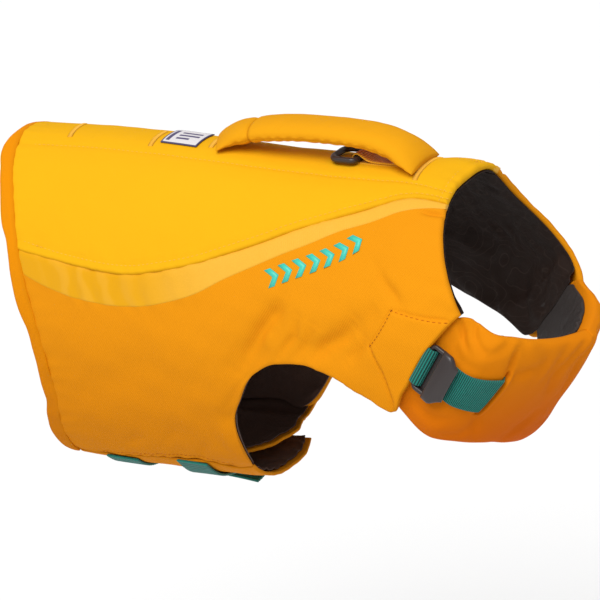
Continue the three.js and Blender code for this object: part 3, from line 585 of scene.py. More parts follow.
def make_mesh(name, points, faces, uv=None, edge=None):
    mesh = bpy.data.meshes.new(name)
    mesh.from_pydata((np.asarray(points) * MM).tolist(), [], np.asarray(faces).tolist())
    mesh.validate()
    mesh.polygons.foreach_set("use_smooth", [True] * len(mesh.polygons))
    if uv is not None:
        loops = np.empty(len(mesh.loops), int)
        mesh.loops.foreach_get("vertex_index", loops)
        layer = mesh.uv_layers.new(name="cloth")
        layer.data.foreach_set("uv", np.asarray(uv)[loops].astype(np.float32).ravel())
    if edge is not None:
        attribute = mesh.attributes.new("edge", "FLOAT", "POINT")
        attribute.data.foreach_set("value", np.asarray(edge, np.float32).ravel())
    mesh.update()
    return mesh


def add_piece(name, mesh, material, nodes=(), body_name=JACKET):
    """Adds a piece at the origin, on its body and in the place of its frame nodes."""
    piece = bpy.data.objects.new(name, mesh)
    bpy.context.scene.collection.objects.link(piece)
    mesh.materials.clear()
    mesh.materials.append(material)
    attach(piece, body_name)
    if nodes:
        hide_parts(*nodes)
    return piece


def declare_cloth(size):
    """Works out a cloth piece's width and length in metres, rounded; the values are not kept or used."""
    width, length = (round(value * MM, 4) for value in size)


def closed_shell(top, bottom):
    """Points and quads of a shell whose two faces meet along its border."""
    rows, columns = top.shape[:2]
    outer = np.arange(rows * columns).reshape(rows, columns)
    inner = outer.copy()
    inner[1:-1, 1:-1] = rows * columns + np.arange((rows - 2) * (columns - 2)).reshape(rows - 2, -1)
    points = np.concatenate([top.reshape(-1, 3), bottom[1:-1, 1:-1].reshape(-1, 3)])
    faces = np.concatenate([quads(outer), quads(inner)[:, ::-1]])
    return points, facing_out(points, faces)


def both_faces(values):
    """Values of a grid in the point order of closed_shell()."""
    width = values.shape[-1] if values.ndim == 3 else 1
    flat = values.reshape(-1, width)
    inner = values[1:-1, 1:-1].reshape(-1, width)
    return np.concatenate([flat, inner])


def cloth_piece(name, grid, outer, inner, finish, nodes, roll=2.2):
    """A cloth wall on the body between two levels, with its edges rolled round."""
    t, theta = grid
    t = to_edges(t, theta)
    outer = outer - 0.9 * under_hem(t, theta)
    outer, inner = np.broadcast_to(outer, t.shape), np.broadcast_to(inner, t.shape)
    middle, half = (outer + inner) / 2, (outer - inner) / 2
    edge = edge_distance(skin(t, theta, middle))
    half = half * rounded(edge / roll)
    top = skin(t, theta, middle + half)
    points, faces = closed_shell(top, skin(t, theta, middle - half))
    mesh = make_mesh(name, points, faces, both_faces(laid_out(t, theta)), both_faces(edge))
    piece = add_piece(name, mesh, FINISHES[finish], nodes)
    size = (cumulated(top, 0)[-1].max(), cumulated(top, 1)[:, -1].max())
    declare_cloth(size)
    return piece


def loft(rings):
    """Points and quads of a tube through closed rings, its ends closed by shrunken rings."""
    rings = np.asarray(rings, float)

    def cap(ring):
        centre = ring.mean(axis=0)
        return [mix(ring, centre, share) for share in (0.5, 0.98)]

    rings = np.concatenate([cap(rings[0])[::-1], rings, cap(rings[-1])])
    count = rings.shape[1]
    index = np.arange(rings.shape[0] * count).reshape(-1, count)
    faces = quads(np.concatenate([index, index[:, :1]], axis=1))
    half = count // 2
    for ring in (index[0], index[-1]):
        fan = [[ring[k], ring[k + 1], ring[count - 2 - k], ring[count - 1 - k]] for k in range(half - 1)]
        ends = np.array(fan)
        faces = np.concatenate([faces, ends if ring[0] == 0 else ends[:, ::-1]])
    points = rings.reshape(-1, 3)
    return points, facing_out(points, faces)


def with_caps(flat, edge):
    """Layout and edge distances for loft(), whose caps add two rings at each end."""
    first, last = np.repeat(flat[[0, -1]], 2, axis=0).reshape(2, -1, 2)
    ones = np.ones(len(first))
    return np.concatenate([first, flat.reshape(-1, 2), last]), np.concatenate([ones, edge.ravel(), ones])


class Sum:
    """A number on a shader socket, so that shader maths reads as plain expressions."""

    def __init__(self, finish, socket):
        self.finish = finish
        self.socket = socket

    def math(self, operation, *values):
        node = self.finish.node("ShaderNodeMath", {"operation": operation}, dict(enumerate(values)))
        return Sum(self.finish, node.outputs[0])

    def __add__(self, other):
        return self.math("ADD", self, other)

    def __sub__(self, other):
        return self.math("SUBTRACT", self, other)

    def __rsub__(self, other):
        return self.math("SUBTRACT", other, self)

    def __mul__(self, other):
        return self.math("MULTIPLY", self, other)

    __radd__ = __add__
    __rmul__ = __mul__

    def sine(self):
        return self.math("SINE", self)

    def wave(self, pitch):
        """Sine wave with a crest every pitch."""
        return (self * (2 * math.pi / pitch)).sine()

    def between(self, low, high):
        """0 below low, 1 above high and smooth between."""
        settings = {"interpolation_type": "SMOOTHSTEP"}
        sockets = {"Value": self, "From Min": low, "From Max": high, "To Min": 0.0, "To Max": 1.0}
        return Sum(self.finish, self.finish.node("ShaderNodeMapRange", settings, sockets).outputs["Result"])


class Finish:
    """Builds one node material."""

    def __init__(self, name):
        self.material = bpy.data.materials.new(name)
        self.material.use_nodes = True
        self.tree = self.material.node_tree
        self.shader = self.tree.nodes["Principled BSDF"]
        self.place = self.node("ShaderNodeTexCoord").outputs["Object"]

    def node(self, kind, settings=None, sockets=None):
        node = self.tree.nodes.new(kind)
        for key, value in (settings or {}).items():
            setattr(node, key, value)
        for key, value in (sockets or {}).items():
            self.feed(node.inputs[key], value)
        return node

    def feed(self, socket, value):
        if isinstance(value, Sum):
            value = value.socket
        if isinstance(value, bpy.types.NodeSocket):
            self.tree.links.new(value, socket)
        else:
            socket.default_value = value

    def laid(self):
        """Millimetres along the cloth and across it, from the piece's own layout."""
        uv = self.node("ShaderNodeUVMap", {"uv_map": "cloth"}).outputs["UV"]
        parts = self.node("ShaderNodeSeparateXYZ", {}, {0: uv})
        return Sum(self, parts.outputs["X"]), Sum(self, parts.outputs["Y"])

    def at(self, axis):
        """Metres along an axis of the object."""
        return Sum(self, self.node("ShaderNodeSeparateXYZ", {}, {0: self.place}).outputs[axis])

    def attribute(self, name):
        """A value kept on the mesh: edge is the distance in millimetres from the piece's border."""
        return Sum(self, self.node("ShaderNodeAttribute", {"attribute_name": name}).outputs["Fac"])

    def noise(self, scale, detail=3.0, roughness=0.5):
        sockets = {"Vector": self.place, "Scale": scale, "Detail": detail, "Roughness": roughness}
        return Sum(self, self.node("ShaderNodeTexNoise", {}, sockets).outputs[0])

    def blend(self, share, first, second):
        settings = {"data_type": "RGBA", "blend_type": "MIX", "clamp_factor": True}
        return self.node("ShaderNodeMix", settings, {0: share, 6: first, 7: second}).outputs[2]

    def bump(self, height, strength, distance):
        sockets = {"Height": height, "Strength": strength, "Distance": distance}
        return self.node("ShaderNodeBump", {}, sockets).outputs["Normal"]

    def finish(self, colour, roughness, normal=None, specular=0.5, sheen=0.0):
        inputs = self.shader.inputs
        self.feed(inputs["Base Color"], colour)
        self.feed(inputs["Roughness"], roughness)
        if normal is not None:
            self.feed(inputs["Normal"], normal)
        inputs["Specular IOR Level"].default_value = specular
        inputs["Sheen Weight"].default_value = sheen
        return self.material


def linear(colour, factor=1.0):
    """A screen colour as shader values."""
    return tuple(min(1.0, ((c / 12.92) if c < 0.04045 else ((c + 0.055) / 1.055) ** 2.4) * factor)
                 for c in colour[:3]) + (1.0,)


FINISHES = {}


def woven_cloth(name, colour, pitch, twill, depth, shade=0.82, low_shade_colour=None, low_shade_share=0.6):
    """Dyed woven cloth: its threads and uneven dye, with painted shade darker towards the bottom and along
    its rolled edges.
    """
    f = Finish(name)
    u, v = f.laid()
    if twill:
        threads = (u + v * 0.9).wave(pitch) * 0.85 + (u - v * 0.9).wave(2 * pitch) * 0.15
    else:
        threads = u.wave(pitch) * v.wave(pitch)
    broad, fine = f.noise(14.0), f.noise(700.0, 2.0)
    tone = broad * 0.5 + fine * 0.06 + threads * 0.2 + 0.22
    base = f.blend(tone, linear(colour, shade), linear(colour, 1.04))
    # Painted shade: towards the bottom the cloth is blended into a darker colour.
    base = f.blend(f.at("Z").between(-0.05, -0.19) * low_shade_share, base, linear(low_shade_colour or colour, 0.95))
    # Painted shade along the rolled edges of the piece.
    painted_edge_shade = (1.0 - f.attribute("edge").between(0.2, 3.2)) * 0.35
    base = f.blend(painted_edge_shade, base, linear(colour, shade * 0.78))
    return f.finish(base, broad * 0.12 + 0.72, f.bump(threads + fine * 0.2, 0.5, depth), specular=0.05)


def stripe_film(name, colour, pale):
    """Satin film bonded to the cloth: golden at the tail and paler to the front, with painted highlight and
    shade bands on its satin folds, pale flecks painted as glints to the front, and painted shade at its
    edges.
    """
    f = Finish(name)
    u, _ = f.laid()
    grain, broad = f.noise(1300.0, 1.0), f.noise(40.0, 2.0)
    front = (u + broad * 14.0).between(110.0, 190.0)
    base = f.blend(front, linear(colour, 0.88), linear(pale))
    # Painted highlight and painted shade: light and dark bands along the satin folds.
    upright = (u + broad * 26.0).wave(17)
    satin = u.between(34.0, 64.0) * (1.0 - u.between(95.0, 135.0))
    base = f.blend(upright.between(-0.2, 1.0) * satin * 0.32, base, linear(pale, 1.05))
    base = f.blend((0.0 - upright).between(0.2, 1.0) * satin * 0.1, base, linear(colour, 0.76))
    # Painted glints: pale flecks in the front part.
    base = f.blend((grain - 0.45).between(0.0, 0.2) * 0.2 * front, base, linear(pale, 1.25))
    # Painted shade along the edges of the film.
    painted_edge_shade = (1.0 - f.attribute("edge").between(0.0, 2.0)) * 0.3
    base = f.blend(painted_edge_shade, base, linear(colour, 0.7))
    normal = f.bump(grain + (u * 4.4).sine() * 0.2, 0.4, 0.0002)
    return f.finish(base, grain * 0.2 + 0.34, normal, specular=0.16)


def lining_cloth(name, colour, line, contour=True):
    """Dark lining with faint tone-on-tone waves, creased and matt, with painted light making it paler towards
    the rear, at the belly and leg holes.
    """
    f = Finish(name)
    u, v = f.laid()
    hills, fine, creased = f.noise(19.0, 2.4), f.noise(700.0, 2.0), f.noise(60.0, 4.0, 0.6)
    base = f.blend(creased * 0.6 + fine * 0.3, linear(colour, 0.7), linear(colour, 1.35))
    if contour:
        waves = (hills * (2 * math.pi * 24)).sine()
        base = f.blend(waves.between(0.9, 1.0) * 0.4, base, linear(line))
    # Painted light: the lining grows paler towards the rear, lighting up its inside at the leg holes and
    # belly.
    base = f.blend(f.at("X").between(0.10, 0.03) * 0.7, base, linear(colour, 5.0))
    threads = (u * 5.2).sine() * (v * 5.2).sine()
    normal = f.bump(creased * 2.2 + threads * 0.25 + fine * 0.5, 0.6, 0.0006)
    return f.finish(base, creased * 0.2 + 0.5, normal, specular=0.12)


def webbing_cloth(name, colour, shade=0.62):
    """Ribbed tape: its ribs run across, painted light on their crests and painted shade between them, with a
    selvedge on both sides.
    """
    f = Finish(name)
    u, v = f.laid()
    ribs, picks = u.wave(RIB_PITCH), v.wave(0.9)
    fine, broad = f.noise(1100.0, 2.0), f.noise(60.0, 2.0)
    # Painted light and shade: the ribs set the colour, light on their crests and dark between them.
    tone = ribs * 0.5 + picks * 0.06 + fine * 0.15 + broad * 0.2 + 0.36
    base = f.blend(tone, linear(colour, shade * 0.22), linear(colour, 1.15))
    selvedge = (1.0 - f.attribute("edge").between(0.8, 1.6)) * 0.25
    base = f.blend(selvedge, base, linear(colour, shade))
    normal = f.bump(ribs + picks * 0.35 + fine * 0.3, 0.5, 0.0003)
    return f.finish(base, fine * 0.15 + 0.5, normal, specular=0.35, sheen=0.06)


def moulded_plastic(name, colour):
    """Acetal plastic: fine spark texture, a soft shine and rubbed edges."""
    f = Finish(name)
    grain, broad, rubbed = f.noise(2200.0, 2.0), f.noise(70.0), f.noise(240.0, 4.0, 0.7)
    base = f.blend(broad * 0.7, linear(colour, 0.8), linear(colour, 1.12))
    edge = (1.0 - f.attribute("edge").between(0.1, 0.9)) * rubbed.between(0.35, 0.75) * 0.5
    base = f.blend(edge, base, linear(colour, 1.7))
    return f.finish(base, rubbed * 0.16 + 0.3, f.bump(grain, 0.35, 0.00012))


def sewing_thread(name, colour):
    """Twisted thread with its ply showing."""
    f = Finish(name)
    ply = f.node("ShaderNodeTexWave", {"wave_type": "BANDS", "bands_direction": "DIAGONAL"},
                 {"Vector": f.place, "Scale": 420.0, "Distortion": 1.0})
    twist = Sum(f, ply.outputs["Fac"])
    base = f.blend(twist * 0.7, linear(colour, 0.72), linear(colour, 1.12))
    return f.finish(base, twist * 0.15 + 0.6, f.bump(twist, 0.5, 0.0001), specular=0.1)


def woven_label(name, cream, ink):
    """Damask label: fine ribs, a dark border and plain bars."""
    f = Finish(name)
    u, _ = f.laid()
    ribs, fine = u.wave(0.55), f.noise(1300.0, 2.0)
    base = f.blend(ribs * 0.2 + fine * 0.5 + 0.2, linear(cream, 0.8), linear(cream, 1.05))
    base = f.blend(f.attribute("band"), base, linear(ink))
    border = 1.0 - f.attribute("edge").between(0.9, 1.3)
    base = f.blend(border, base, linear(ink, 0.75))
    return f.finish(base, fine * 0.1 + 0.5, f.bump(ribs + fine, 0.4, 0.00015))


def raised_print(name, colour):
    """Rubbery transfer print, slightly cracked."""
    f = Finish(name)
    crack, broad = f.noise(500.0, 5.0, 0.7), f.noise(90.0, 2.0)
    base = f.blend(broad, linear(colour, 0.85), linear(colour, 1.1))
    base = f.blend(crack.between(0.62, 0.72) * 0.4, base, linear(colour, 0.6))
    return f.finish(base, crack * 0.2 + 0.35, f.bump(crack, 0.3, 0.0001))


def make_finishes(look):
    """All the materials of the jacket, from the colours in the panel."""
    pitch = look.weave_pitch / MM
    FINISHES.update({
        "yellow": woven_cloth("Yellow_cloth", look.yellow, 0.9, False, 0.0001, 0.9),
        "orange": woven_cloth("Orange_twill", look.orange, pitch, True, 0.00012, 0.84, look.shaded_orange),
        "pad": woven_cloth("Pad_cloth", look.pad_orange, 0.9, False, 0.0001, 0.86, look.shaded_pad_orange, 1.0),
        "handle": woven_cloth("Handle_cloth", look.handle, 0.8, False, 0.0001, 0.88),
        "binding": woven_cloth("Binding_tape", look.binding, 0.8, False, 0.0002, 0.84, look.shaded_orange, 0.9),
        "stripe": stripe_film("Stripe_film", look.gold, look.pale_gold),
        "lining": lining_cloth("Lining_cloth", look.lining, look.lining_line),
        "pad_lining": lining_cloth("Pad_lining_cloth", look.pad_lining, look.pad_lining, False),
        "webbing": webbing_cloth("Teal_webbing", look.teal),
        # Painted light: the leash loop's colour is raised by 2.6, lighting up the webbing in the shade under
        # the handle.
        "loop": webbing_cloth("Orange_webbing", look.orange, 2.6),
        "plastic": moulded_plastic("Moulded_plastic", look.grey),
        "orange_thread": sewing_thread("Orange_thread", look.thread),
        "pale_thread": sewing_thread("Pale_thread", look.pale_thread),
        "dark_thread": sewing_thread("Dark_thread", look.dark_thread),
        "label": woven_label("Woven_label", look.label, look.label_ink),
        "print": raised_print("Raised_print", look.teal_print),
    })


def back_level(t, theta, look):
    """Height of the yellow back: two stitched lines along the spine, puckers at its seams."""
    points = body(t, theta)
    level = rumple(points, 0.32 * look.wrinkles, 11)
    line = np.abs(np.abs(points[..., 1]) - CENTRE_LINE)
    level -= 0.55 * np.exp(-(line / 1.6) ** 2)
    level += 0.7 * smoothstep(0, 10, CENTRE_LINE - np.abs(points[..., 1]))
    gap = np.maximum(np.abs(seam_at(t)) - np.abs(theta), 0) * ARC_PER_DEGREE * 0.9
    level += 0.55 * np.exp(-(gap / 2.5) ** 2) - 0.35 * np.exp(-((gap - 4.2) / 1.0) ** 2)
    along = laid_out(t, theta)[..., 0]
    pucker = np.sin(2 * math.pi * along / 11 + 3 * soft_noise(points, 30, 5))
    level += 0.22 * pucker * np.exp(-gap / 7)
    neck = (NECK_T - t) * LENGTH_PER_T
    level -= 0.5 * np.exp(-((neck - NECK_STITCHING) / 1.3) ** 2)
    level += 0.3 * np.sin(2 * math.pi * theta / 7.5 + 2 * soft_noise(points, 25, 6)) * np.exp(-neck / 9)
    level += 0.25 * np.sin(2 * math.pi * theta / 6.0 + 2 * soft_noise(points, 25, 7)) * np.exp(
        -(t - TAIL_T) * LENGTH_PER_T / 9)
    return level


def make_back(look):
    def edge(side):
        return lambda s: (mix(TAIL_T - 0.002, NECK_T, s), side * (seam_at(mix(TAIL_T, NECK_T, s)) + 0.15))

    grid = place_grid(edge(-1), edge(1), look.detail, look.detail + 60)
    level = back_level(*grid, look)
    cloth_piece("Back_cloth", grid, level, -SHELL, "yellow", ["back_panel"])


def outline(side, shares):
    """Upper t, and t and theta of the lower outline of a side panel."""
    rows = SIDE_REAR + RIGHT_FRONT if side > 0 else SIDE_REAR[:4] + LEFT_LEG + SIDE_REAR[8:] + LEFT_FRONT
    up, t, theta = smooth_rows(rows, shares)
    return up, t, side * theta


def side_level(t, theta, side, look):
    """Height of a side panel: creases at the leg and neck, the stitched pocket, seam puckers."""
    points = body(t, theta)
    turn = np.abs(theta)
    level = rumple(points, 0.55 * look.wrinkles, 21 if side > 0 else 31)
    level += creases(t, turn, SIDE_CREASES)
    if side > 0:
        depth = inside_ring(t, turn, POCKET_PATCH)
        level += 1.5 * smoothstep(-1.0, 1.2, depth) - 0.9 * np.exp(-((depth + 0.4) / 1.0) ** 2)
    run, arc = laid_out(t, turn)[..., 0], laid_out(t, turn)[..., 1]
    _, lower_t, lower_theta = outline(side, np.linspace(0, 1, 400))
    gap, _ = stroke_distance(t, turn, list(zip(lower_t[::6], np.abs(lower_theta)[::6])))
    belly = np.exp(-gap / 8) * (1 - smoothstep(0.40, 0.46, t))
    level += 0.45 * np.sin(2 * math.pi * run / 12.5 + 2.5 * soft_noise(points, 35, 9)) * belly
    level -= 0.5 * np.exp(-((gap - 4.5) / 1.0) ** 2) * (1 - smoothstep(0.39, 0.42, t))
    leg = np.exp(-gap / 6) * smoothstep(0.42, 0.47, t) * (1 - smoothstep(0.68, 0.72, t))
    level += 0.3 * np.sin(2 * math.pi * (run + arc) / 10 + 2 * soft_noise(points, 30, 8)) * leg
    neck = (NECK_T - t) * LENGTH_PER_T
    wave = 0.4 if side > 0 else 0.12
    level += wave * np.sin(2 * math.pi * arc / 13 + 2 * soft_noise(points, 30, 4)) * np.exp(-neck / 10)
    tail = (t - TAIL_T) * LENGTH_PER_T
    level += 0.35 * np.sin(2 * math.pi * arc / 12 + 2 * soft_noise(points, 30, 3)) * np.exp(-tail / 9)
    join = np.exp(-np.maximum(turn - stripe_at(t), 0) * ARC_PER_DEGREE / 3)
    return mix(level, stripe_level(t, theta, look), join)


def leg_edge(t, theta, side):
    """1 at the edge of a leg hole, fading within a few millimetres."""
    _, edge_t, edge_theta = outline(side, np.linspace(0, 1, 70))
    gap, _ = stroke_distance(t, np.abs(theta), list(zip(edge_t, np.abs(edge_theta))))
    return np.exp(-gap / 3.5) * smoothstep(0.405, 0.44, t) * (1 - smoothstep(0.70, 0.74, t))


def make_sides(look):
    for word, side in (("right", 1), ("left", -1)):
        def upper(s, side=side):
            up, _, _ = outline(side, s)
            return up, side * (stripe_at(up) - LAP)

        def lower(s, side=side):
            _, t, theta = outline(side, s)
            return t, theta

        grid = place_grid(upper, lower, look.detail - 20, look.detail + 110)
        level = side_level(*grid, side, look)
        inner = LEG_THINNING * leg_edge(*grid, side) - SHELL
        cloth_piece(f"Side_cloth_{word}", grid, level, inner, "orange",
                    [f"side_panel_{word}"])
        make_stripe(word, side, look)


def stripe_level(t, theta, look):
    """Height of the stripe: upright folds in its satin tail half, flat to the front."""
    points = body(t, theta)
    run = laid_out(t, np.abs(theta))[..., 0]
    folds = np.sin(2 * math.pi * (run + 0.35 * points[..., 2]) / 17 + 2.4 * soft_noise(points, 40, 14))
    satin = smoothstep(0.06, 0.14, t) * (1 - smoothstep(0.36, 0.46, t))
    return 0.28 * folds * satin + rumple(points, 0.3 * look.wrinkles, 15)


def make_stripe(word, side, look):
    """The stripe lies under the back's edge and laps over the side's."""
    def edge(at, shift):
        def curve(s):
            t = mix(TAIL_T, NECK_T, s)
            return t, side * (at(t) + shift)
        return curve

    grid = place_grid(edge(seam_at, -LAP), edge(stripe_at, 0.0), 30, look.detail + 110)
    t, theta = grid
    turn = np.abs(theta)
    beyond = np.maximum(turn - seam_at(t), 0) * ARC_PER_DEGREE
    lapped = smoothstep(0, LAP, turn - stripe_at(t) + LAP)
    outer = stripe_level(t, theta, look) + 0.16 - 0.95 * np.exp(-beyond / 1.0)
    cloth_piece(f"Stripe_{word}", grid, outer, mix(-SHELL, outer - 0.7, lapped), "stripe",
                [f"stripe_{word}"], roll=0.7)


def make_linings(look):
    def band(side):
        return lambda s: (mix(TAIL_T, NECK_T, s), side * (seam_at(mix(TAIL_T, NECK_T, s)) - 0.2))

    grid = place_grid(band(-1), band(1), 60, 120)
    level = rumple(body(*grid), 0.5 * look.wrinkles, 41)
    low = np.minimum(level, 0.15)
    cloth_piece("Lining_back_cloth", grid, LINING_OUTER + low, LINING_INNER + low, "lining",
                ["lining_back"], roll=0.5)
    for word, side in (("right", 1), ("left", -1)):
        def upper(s, side=side):
            up, _, _ = outline(side, s)
            return up, side * seam_at(up)

        def lower(s, side=side):
            _, t, theta = outline(side, s)
            return t, theta + side * mix(1.6, -0.3, smoothstep(0.37, 0.42, t))

        grid = place_grid(upper, lower, 110, 240)
        t, theta = grid
        points = body(t, theta)
        level = rumple(points, 0.9 * look.wrinkles, 51 + side, 34)
        level += 0.8 * np.sin(2 * math.pi * points[..., 0] / 19 + 3 * soft_noise(points, 45, 55))
        gap = edge_distance(points)
        inward = (t - lookup(HEM_SEAM, np.abs(theta))) * LENGTH_PER_T
        level = np.minimum(level, 0.6) * smoothstep(0, 7, gap) * smoothstep(1, 12, inward) - 0.55
        drop = lining_drop(t, theta) - LEG_THINNING * leg_edge(t, theta, side)
        cloth_piece(f"Lining_{word}_cloth", grid, LINING_OUTER - drop + level, LINING_INNER - drop + level,
                    "lining", [f"lining_{word}"],
                    roll=0.5)


def belly_seam(t):
    """Theta of the belly seam at t, from the rear rows of the right side's outline."""
    _, outline_t, theta = outline(1, np.linspace(0, 1, 500))
    last = int(np.argmax(outline_t >= FLAP_FRONT_T)) + 1
    return np.interp(t, outline_t[:last], theta[:last])


def make_flaps(look):
    for word, side, end in (("right", 1, RIGHT_FLAP_END), ("left", -1, LEFT_FLAP_END)):
        def upper(s, side=side):
            t = mix(TAIL_T, FLAP_FRONT_T, s)
            return t, side * (belly_seam(t) + (0.25 if side > 0 else -1.5))

        def lower(s, side=side, end=end):
            t = mix(TAIL_T, FLAP_FRONT_T, s)
            return t, np.full_like(t, side * end)

        grid = place_grid(upper, lower, 90, 130)
        t, theta = grid
        reach = lookup(RIGHT_FLAP_FRONT if side > 0 else LEFT_FLAP_FRONT, np.abs(theta)) - FLAP_FRONT_T
        t = t + reach * smoothstep(0.25, FLAP_FRONT_T, t)
        turn = np.abs(theta)
        points = body(t, theta)
        shift = underlap(theta) if side < 0 else 0.0
        front = (t.max(axis=1, keepdims=True) - t) * LENGTH_PER_T
        gathers = np.sin(2 * math.pi * turn * ARC_PER_DEGREE / 9 + 2 * soft_noise(points, 30, 62))
        level = rumple(points, 0.5 * look.wrinkles, 61 + side) + 0.12 * gathers * np.exp(-front / 8)
        level -= 0.3 * np.exp(-((front - 5) / 1.0) ** 2)
        cloth_piece(f"Belly_flap_{word}_cloth", (t, theta), shift + level, shift - FLAP_WALL + level,
                    "orange", [f"belly_flap_{word}"],
                    roll=1.2)
        inset = 0.0075 * smoothstep(60, 0, front)
        inner = (t - inset, np.where(turn > end - 3, theta - side * 0.6, theta))
        gathered = (0.9 if side > 0 else 0.3) * gathers * np.exp(-front / 16) + 0.25 * rumple(points, 1.0, 66)
        low = shift - FLAP_WALL - 0.35 + level + np.minimum(gathered, 0.0) - 0.3
        cloth_piece(f"Flap_lining_{word}_cloth", inner, low, low - 0.9, "lining",
                    [f"lining_flap_{word}"], roll=0.45)


def closed_curve(corners, steps=2):
    """Points of a smooth closed curve through its corners."""
    count = len(corners)
    fine = []
    for k in range(count):
        p0, p1, p2, p3 = (corners[(k + n) % count] for n in (-1, 0, 1, 2))
        for f in np.arange(steps) / steps:
            fine.append(0.5 * (2 * p1 + (p2 - p0) * f + (2 * p0 - 5 * p1 + 4 * p2 - p3) * f**2
                               + (3 * p1 - p0 - 3 * p2 + p3) * f**3))
    return np.array(fine)


def make_hem(look):
    """Wide binding tape folded over the tail edge, a little kinked between its stitches."""
    theta = np.linspace(-HEM_END, HEM_END, 420)
    fine = closed_curve(HEM_PROFILE, 3)
    fold, seam = lookup(HEM_FOLD, np.abs(theta)), lookup(HEM_SEAM, np.abs(theta))
    kinks = np.interp(theta, np.linspace(-HEM_END, HEM_END, 44), np.random.default_rng(7).uniform(-1, 1, 44))
    share = fine[None, :, 0]
    t = mix(fold[:, None] + 0.0018 * look.wrinkles * kinks[:, None], seam[:, None], share)
    middle = np.repeat(theta[:, None], len(fine), axis=1)
    points = body(np.clip(t, 0.0, 1.0), middle)
    level = fine[None, :, 1] + 0.3 * soft_noise(points, 13, 71) * np.where(fine[:, 1] > -1, 1, 0.3)[None]
    rings = skin(t, middle, level)
    mesh_points, faces = loft(rings)
    inward = np.abs(1 - share) * (seam - fold)[:, None] * LENGTH_PER_T
    mesh = make_mesh("Hem_binding_tape", mesh_points, faces, *with_caps(laid_out(t, middle), inward))
    piece = add_piece("Hem_binding_tape", mesh, FINISHES["binding"], ["hem_binding"])
    length = cumulated(rings[:, 12], 0)[-1]


def pad_face(t, theta, face):
    """Level of the pad's face with its stuffed crown, tongue in the pocket, folds and slit."""
    rear, front = pad_reach(theta)
    u = np.clip((t - rear) / (front - rear), 0, 1)
    swell = pad_swell(t, theta)
    profile = np.sqrt(np.maximum(1 - np.abs(2 * u - 1) ** 4.5, 0))
    distance = np.minimum(u, 1 - u) * (front - rear) * LENGTH_PER_T
    half = mix(TONGUE_HALF * rounded(distance / 2.0), PAD_HALF * profile, swell)
    return mix(TONGUE_CENTRE, 0.0, swell) + face * half


def pad_reach(theta):
    """Edges of the pad with its front lip."""
    rear, front = pad_ends(theta)
    return rear, front + lookup(PAD_LIP, theta)


def pad_top(t, theta, look):
    points = body(t, theta)
    swell = pad_swell(t, theta)
    level = pad_face(t, theta, 1) + swell * rumple(points, 0.6 * look.wrinkles, 81, 52)
    level += creases(t, theta, PAD_CREASES)
    gap, _ = stroke_distance(t, theta, SLIT)
    beyond = smoothstep(124.6, 126.2, theta)
    lip = 1.5 * beyond * np.exp(-((gap - 2.4) / 1.8) ** 2)
    front = 0.5 * np.sin(theta * 0.45 + 4 * soft_noise(points, 50, 83)) * smoothstep(0.93, 1.04, t) * swell
    crown = 3.0 * np.exp(-((theta - 178) / 34) ** 2) * smoothstep(0.88, 1.0, t)
    return level - 3.6 * np.exp(-(gap / 1.2) ** 2) + lip + front + crown


def make_pad(look):
    theta = np.concatenate([np.linspace(PAD_FROM, 128, 150), np.linspace(128, PAD_TO, 170)[1:]])
    u = (1 - np.cos(np.linspace(0, math.pi, 84))) / 2
    rear, front = pad_reach(theta)
    t = mix(rear[:, None], front[:, None], u[None])
    theta = np.repeat(theta[:, None], len(u), axis=1)
    top = skin(t, theta, pad_top(t, theta, look))
    middle = skin(t, theta, pad_face(t, theta, 0))
    bottom = skin(t, theta, pad_face(t, theta, -1) + 0.4 * rumple(body(t, theta), 0.6 * look.wrinkles, 85))
    border = np.ones(t.shape, bool)
    border[1:-1, 1:-1] = False
    top[border] = middle[border]
    points, faces = closed_shell(top, bottom)
    edge = both_faces(edge_distance(middle) + 4.0)
    mesh = make_mesh("Chest_pad_cover", points, faces, both_faces(laid_out(t, theta)), edge)
    piece = add_piece("Chest_pad_cover", mesh, FINISHES["pad"], ["chest_pad"])
    make_pad_lining(look)


def make_pad_lining(look):
    def curve(end, margin):
        def at(s):
            theta = mix(96.0, PAD_TO - 3, s)
            return pad_reach(theta)[end] + margin, theta
        return at

    grid = place_grid(curve(0, 0.006), curve(1, -0.022), 60, 190)
    t, theta = grid
    points = body(t, theta)
    level = pad_face(t, theta, -1) + 0.4 * rumple(points, 0.6 * look.wrinkles, 85) - 0.25
    gap = edge_distance(points)
    gathers = np.sin(theta * 0.62 + 2.5 * soft_noise(points, 30, 87)) * np.exp(-gap / 9)
    low = level - np.maximum(rumple(points, 0.9 * look.wrinkles, 88, 24) + 0.9 * gathers, 0.0)
    cloth_piece("Chest_pad_lining_cloth", grid, level, low - 1.0, "pad_lining",
                ["chest_pad_lining"], roll=0.7)


def tape(name, node, place, level, length, ribs=0.2, rib_pitch=RIB_PITCH, across=18):
    """A webbing tape whose ribs run across it. place and level take shares along and across."""
    s = np.linspace(0, 1, max(12, int(length / rib_pitch * 6)))
    w = edge_shares(STRAP_WIDTH, across)[:, 0] * 2 - 1
    s, w = np.meshgrid(s, w, indexing="ij")
    t, theta = place(s, w)
    edge = np.minimum((1 - np.abs(w)) * STRAP_WIDTH / 2, np.minimum(s, 1 - s) * length)
    half = TAPE_WALL / 2
    thick = (half + ribs * np.sin(2 * math.pi * s * length / rib_pitch)) * rounded(edge / TAPE_ROUND)
    middle = level(t, theta, s, w) + half
    top = skin(t, theta, middle + thick)
    points, faces = closed_shell(top, skin(t, theta, middle - thick))
    uv = np.stack([s * length, w * STRAP_WIDTH / 2], -1)
    mesh = make_mesh(name, points, faces, both_faces(uv), both_faces(edge))
    piece = add_piece(name, mesh, FINISHES["webbing"], [node])
    size = (cumulated(top, 1)[:, -1].max() * 0.98, cumulated(top, 0)[-1].max())
    declare_cloth(size)


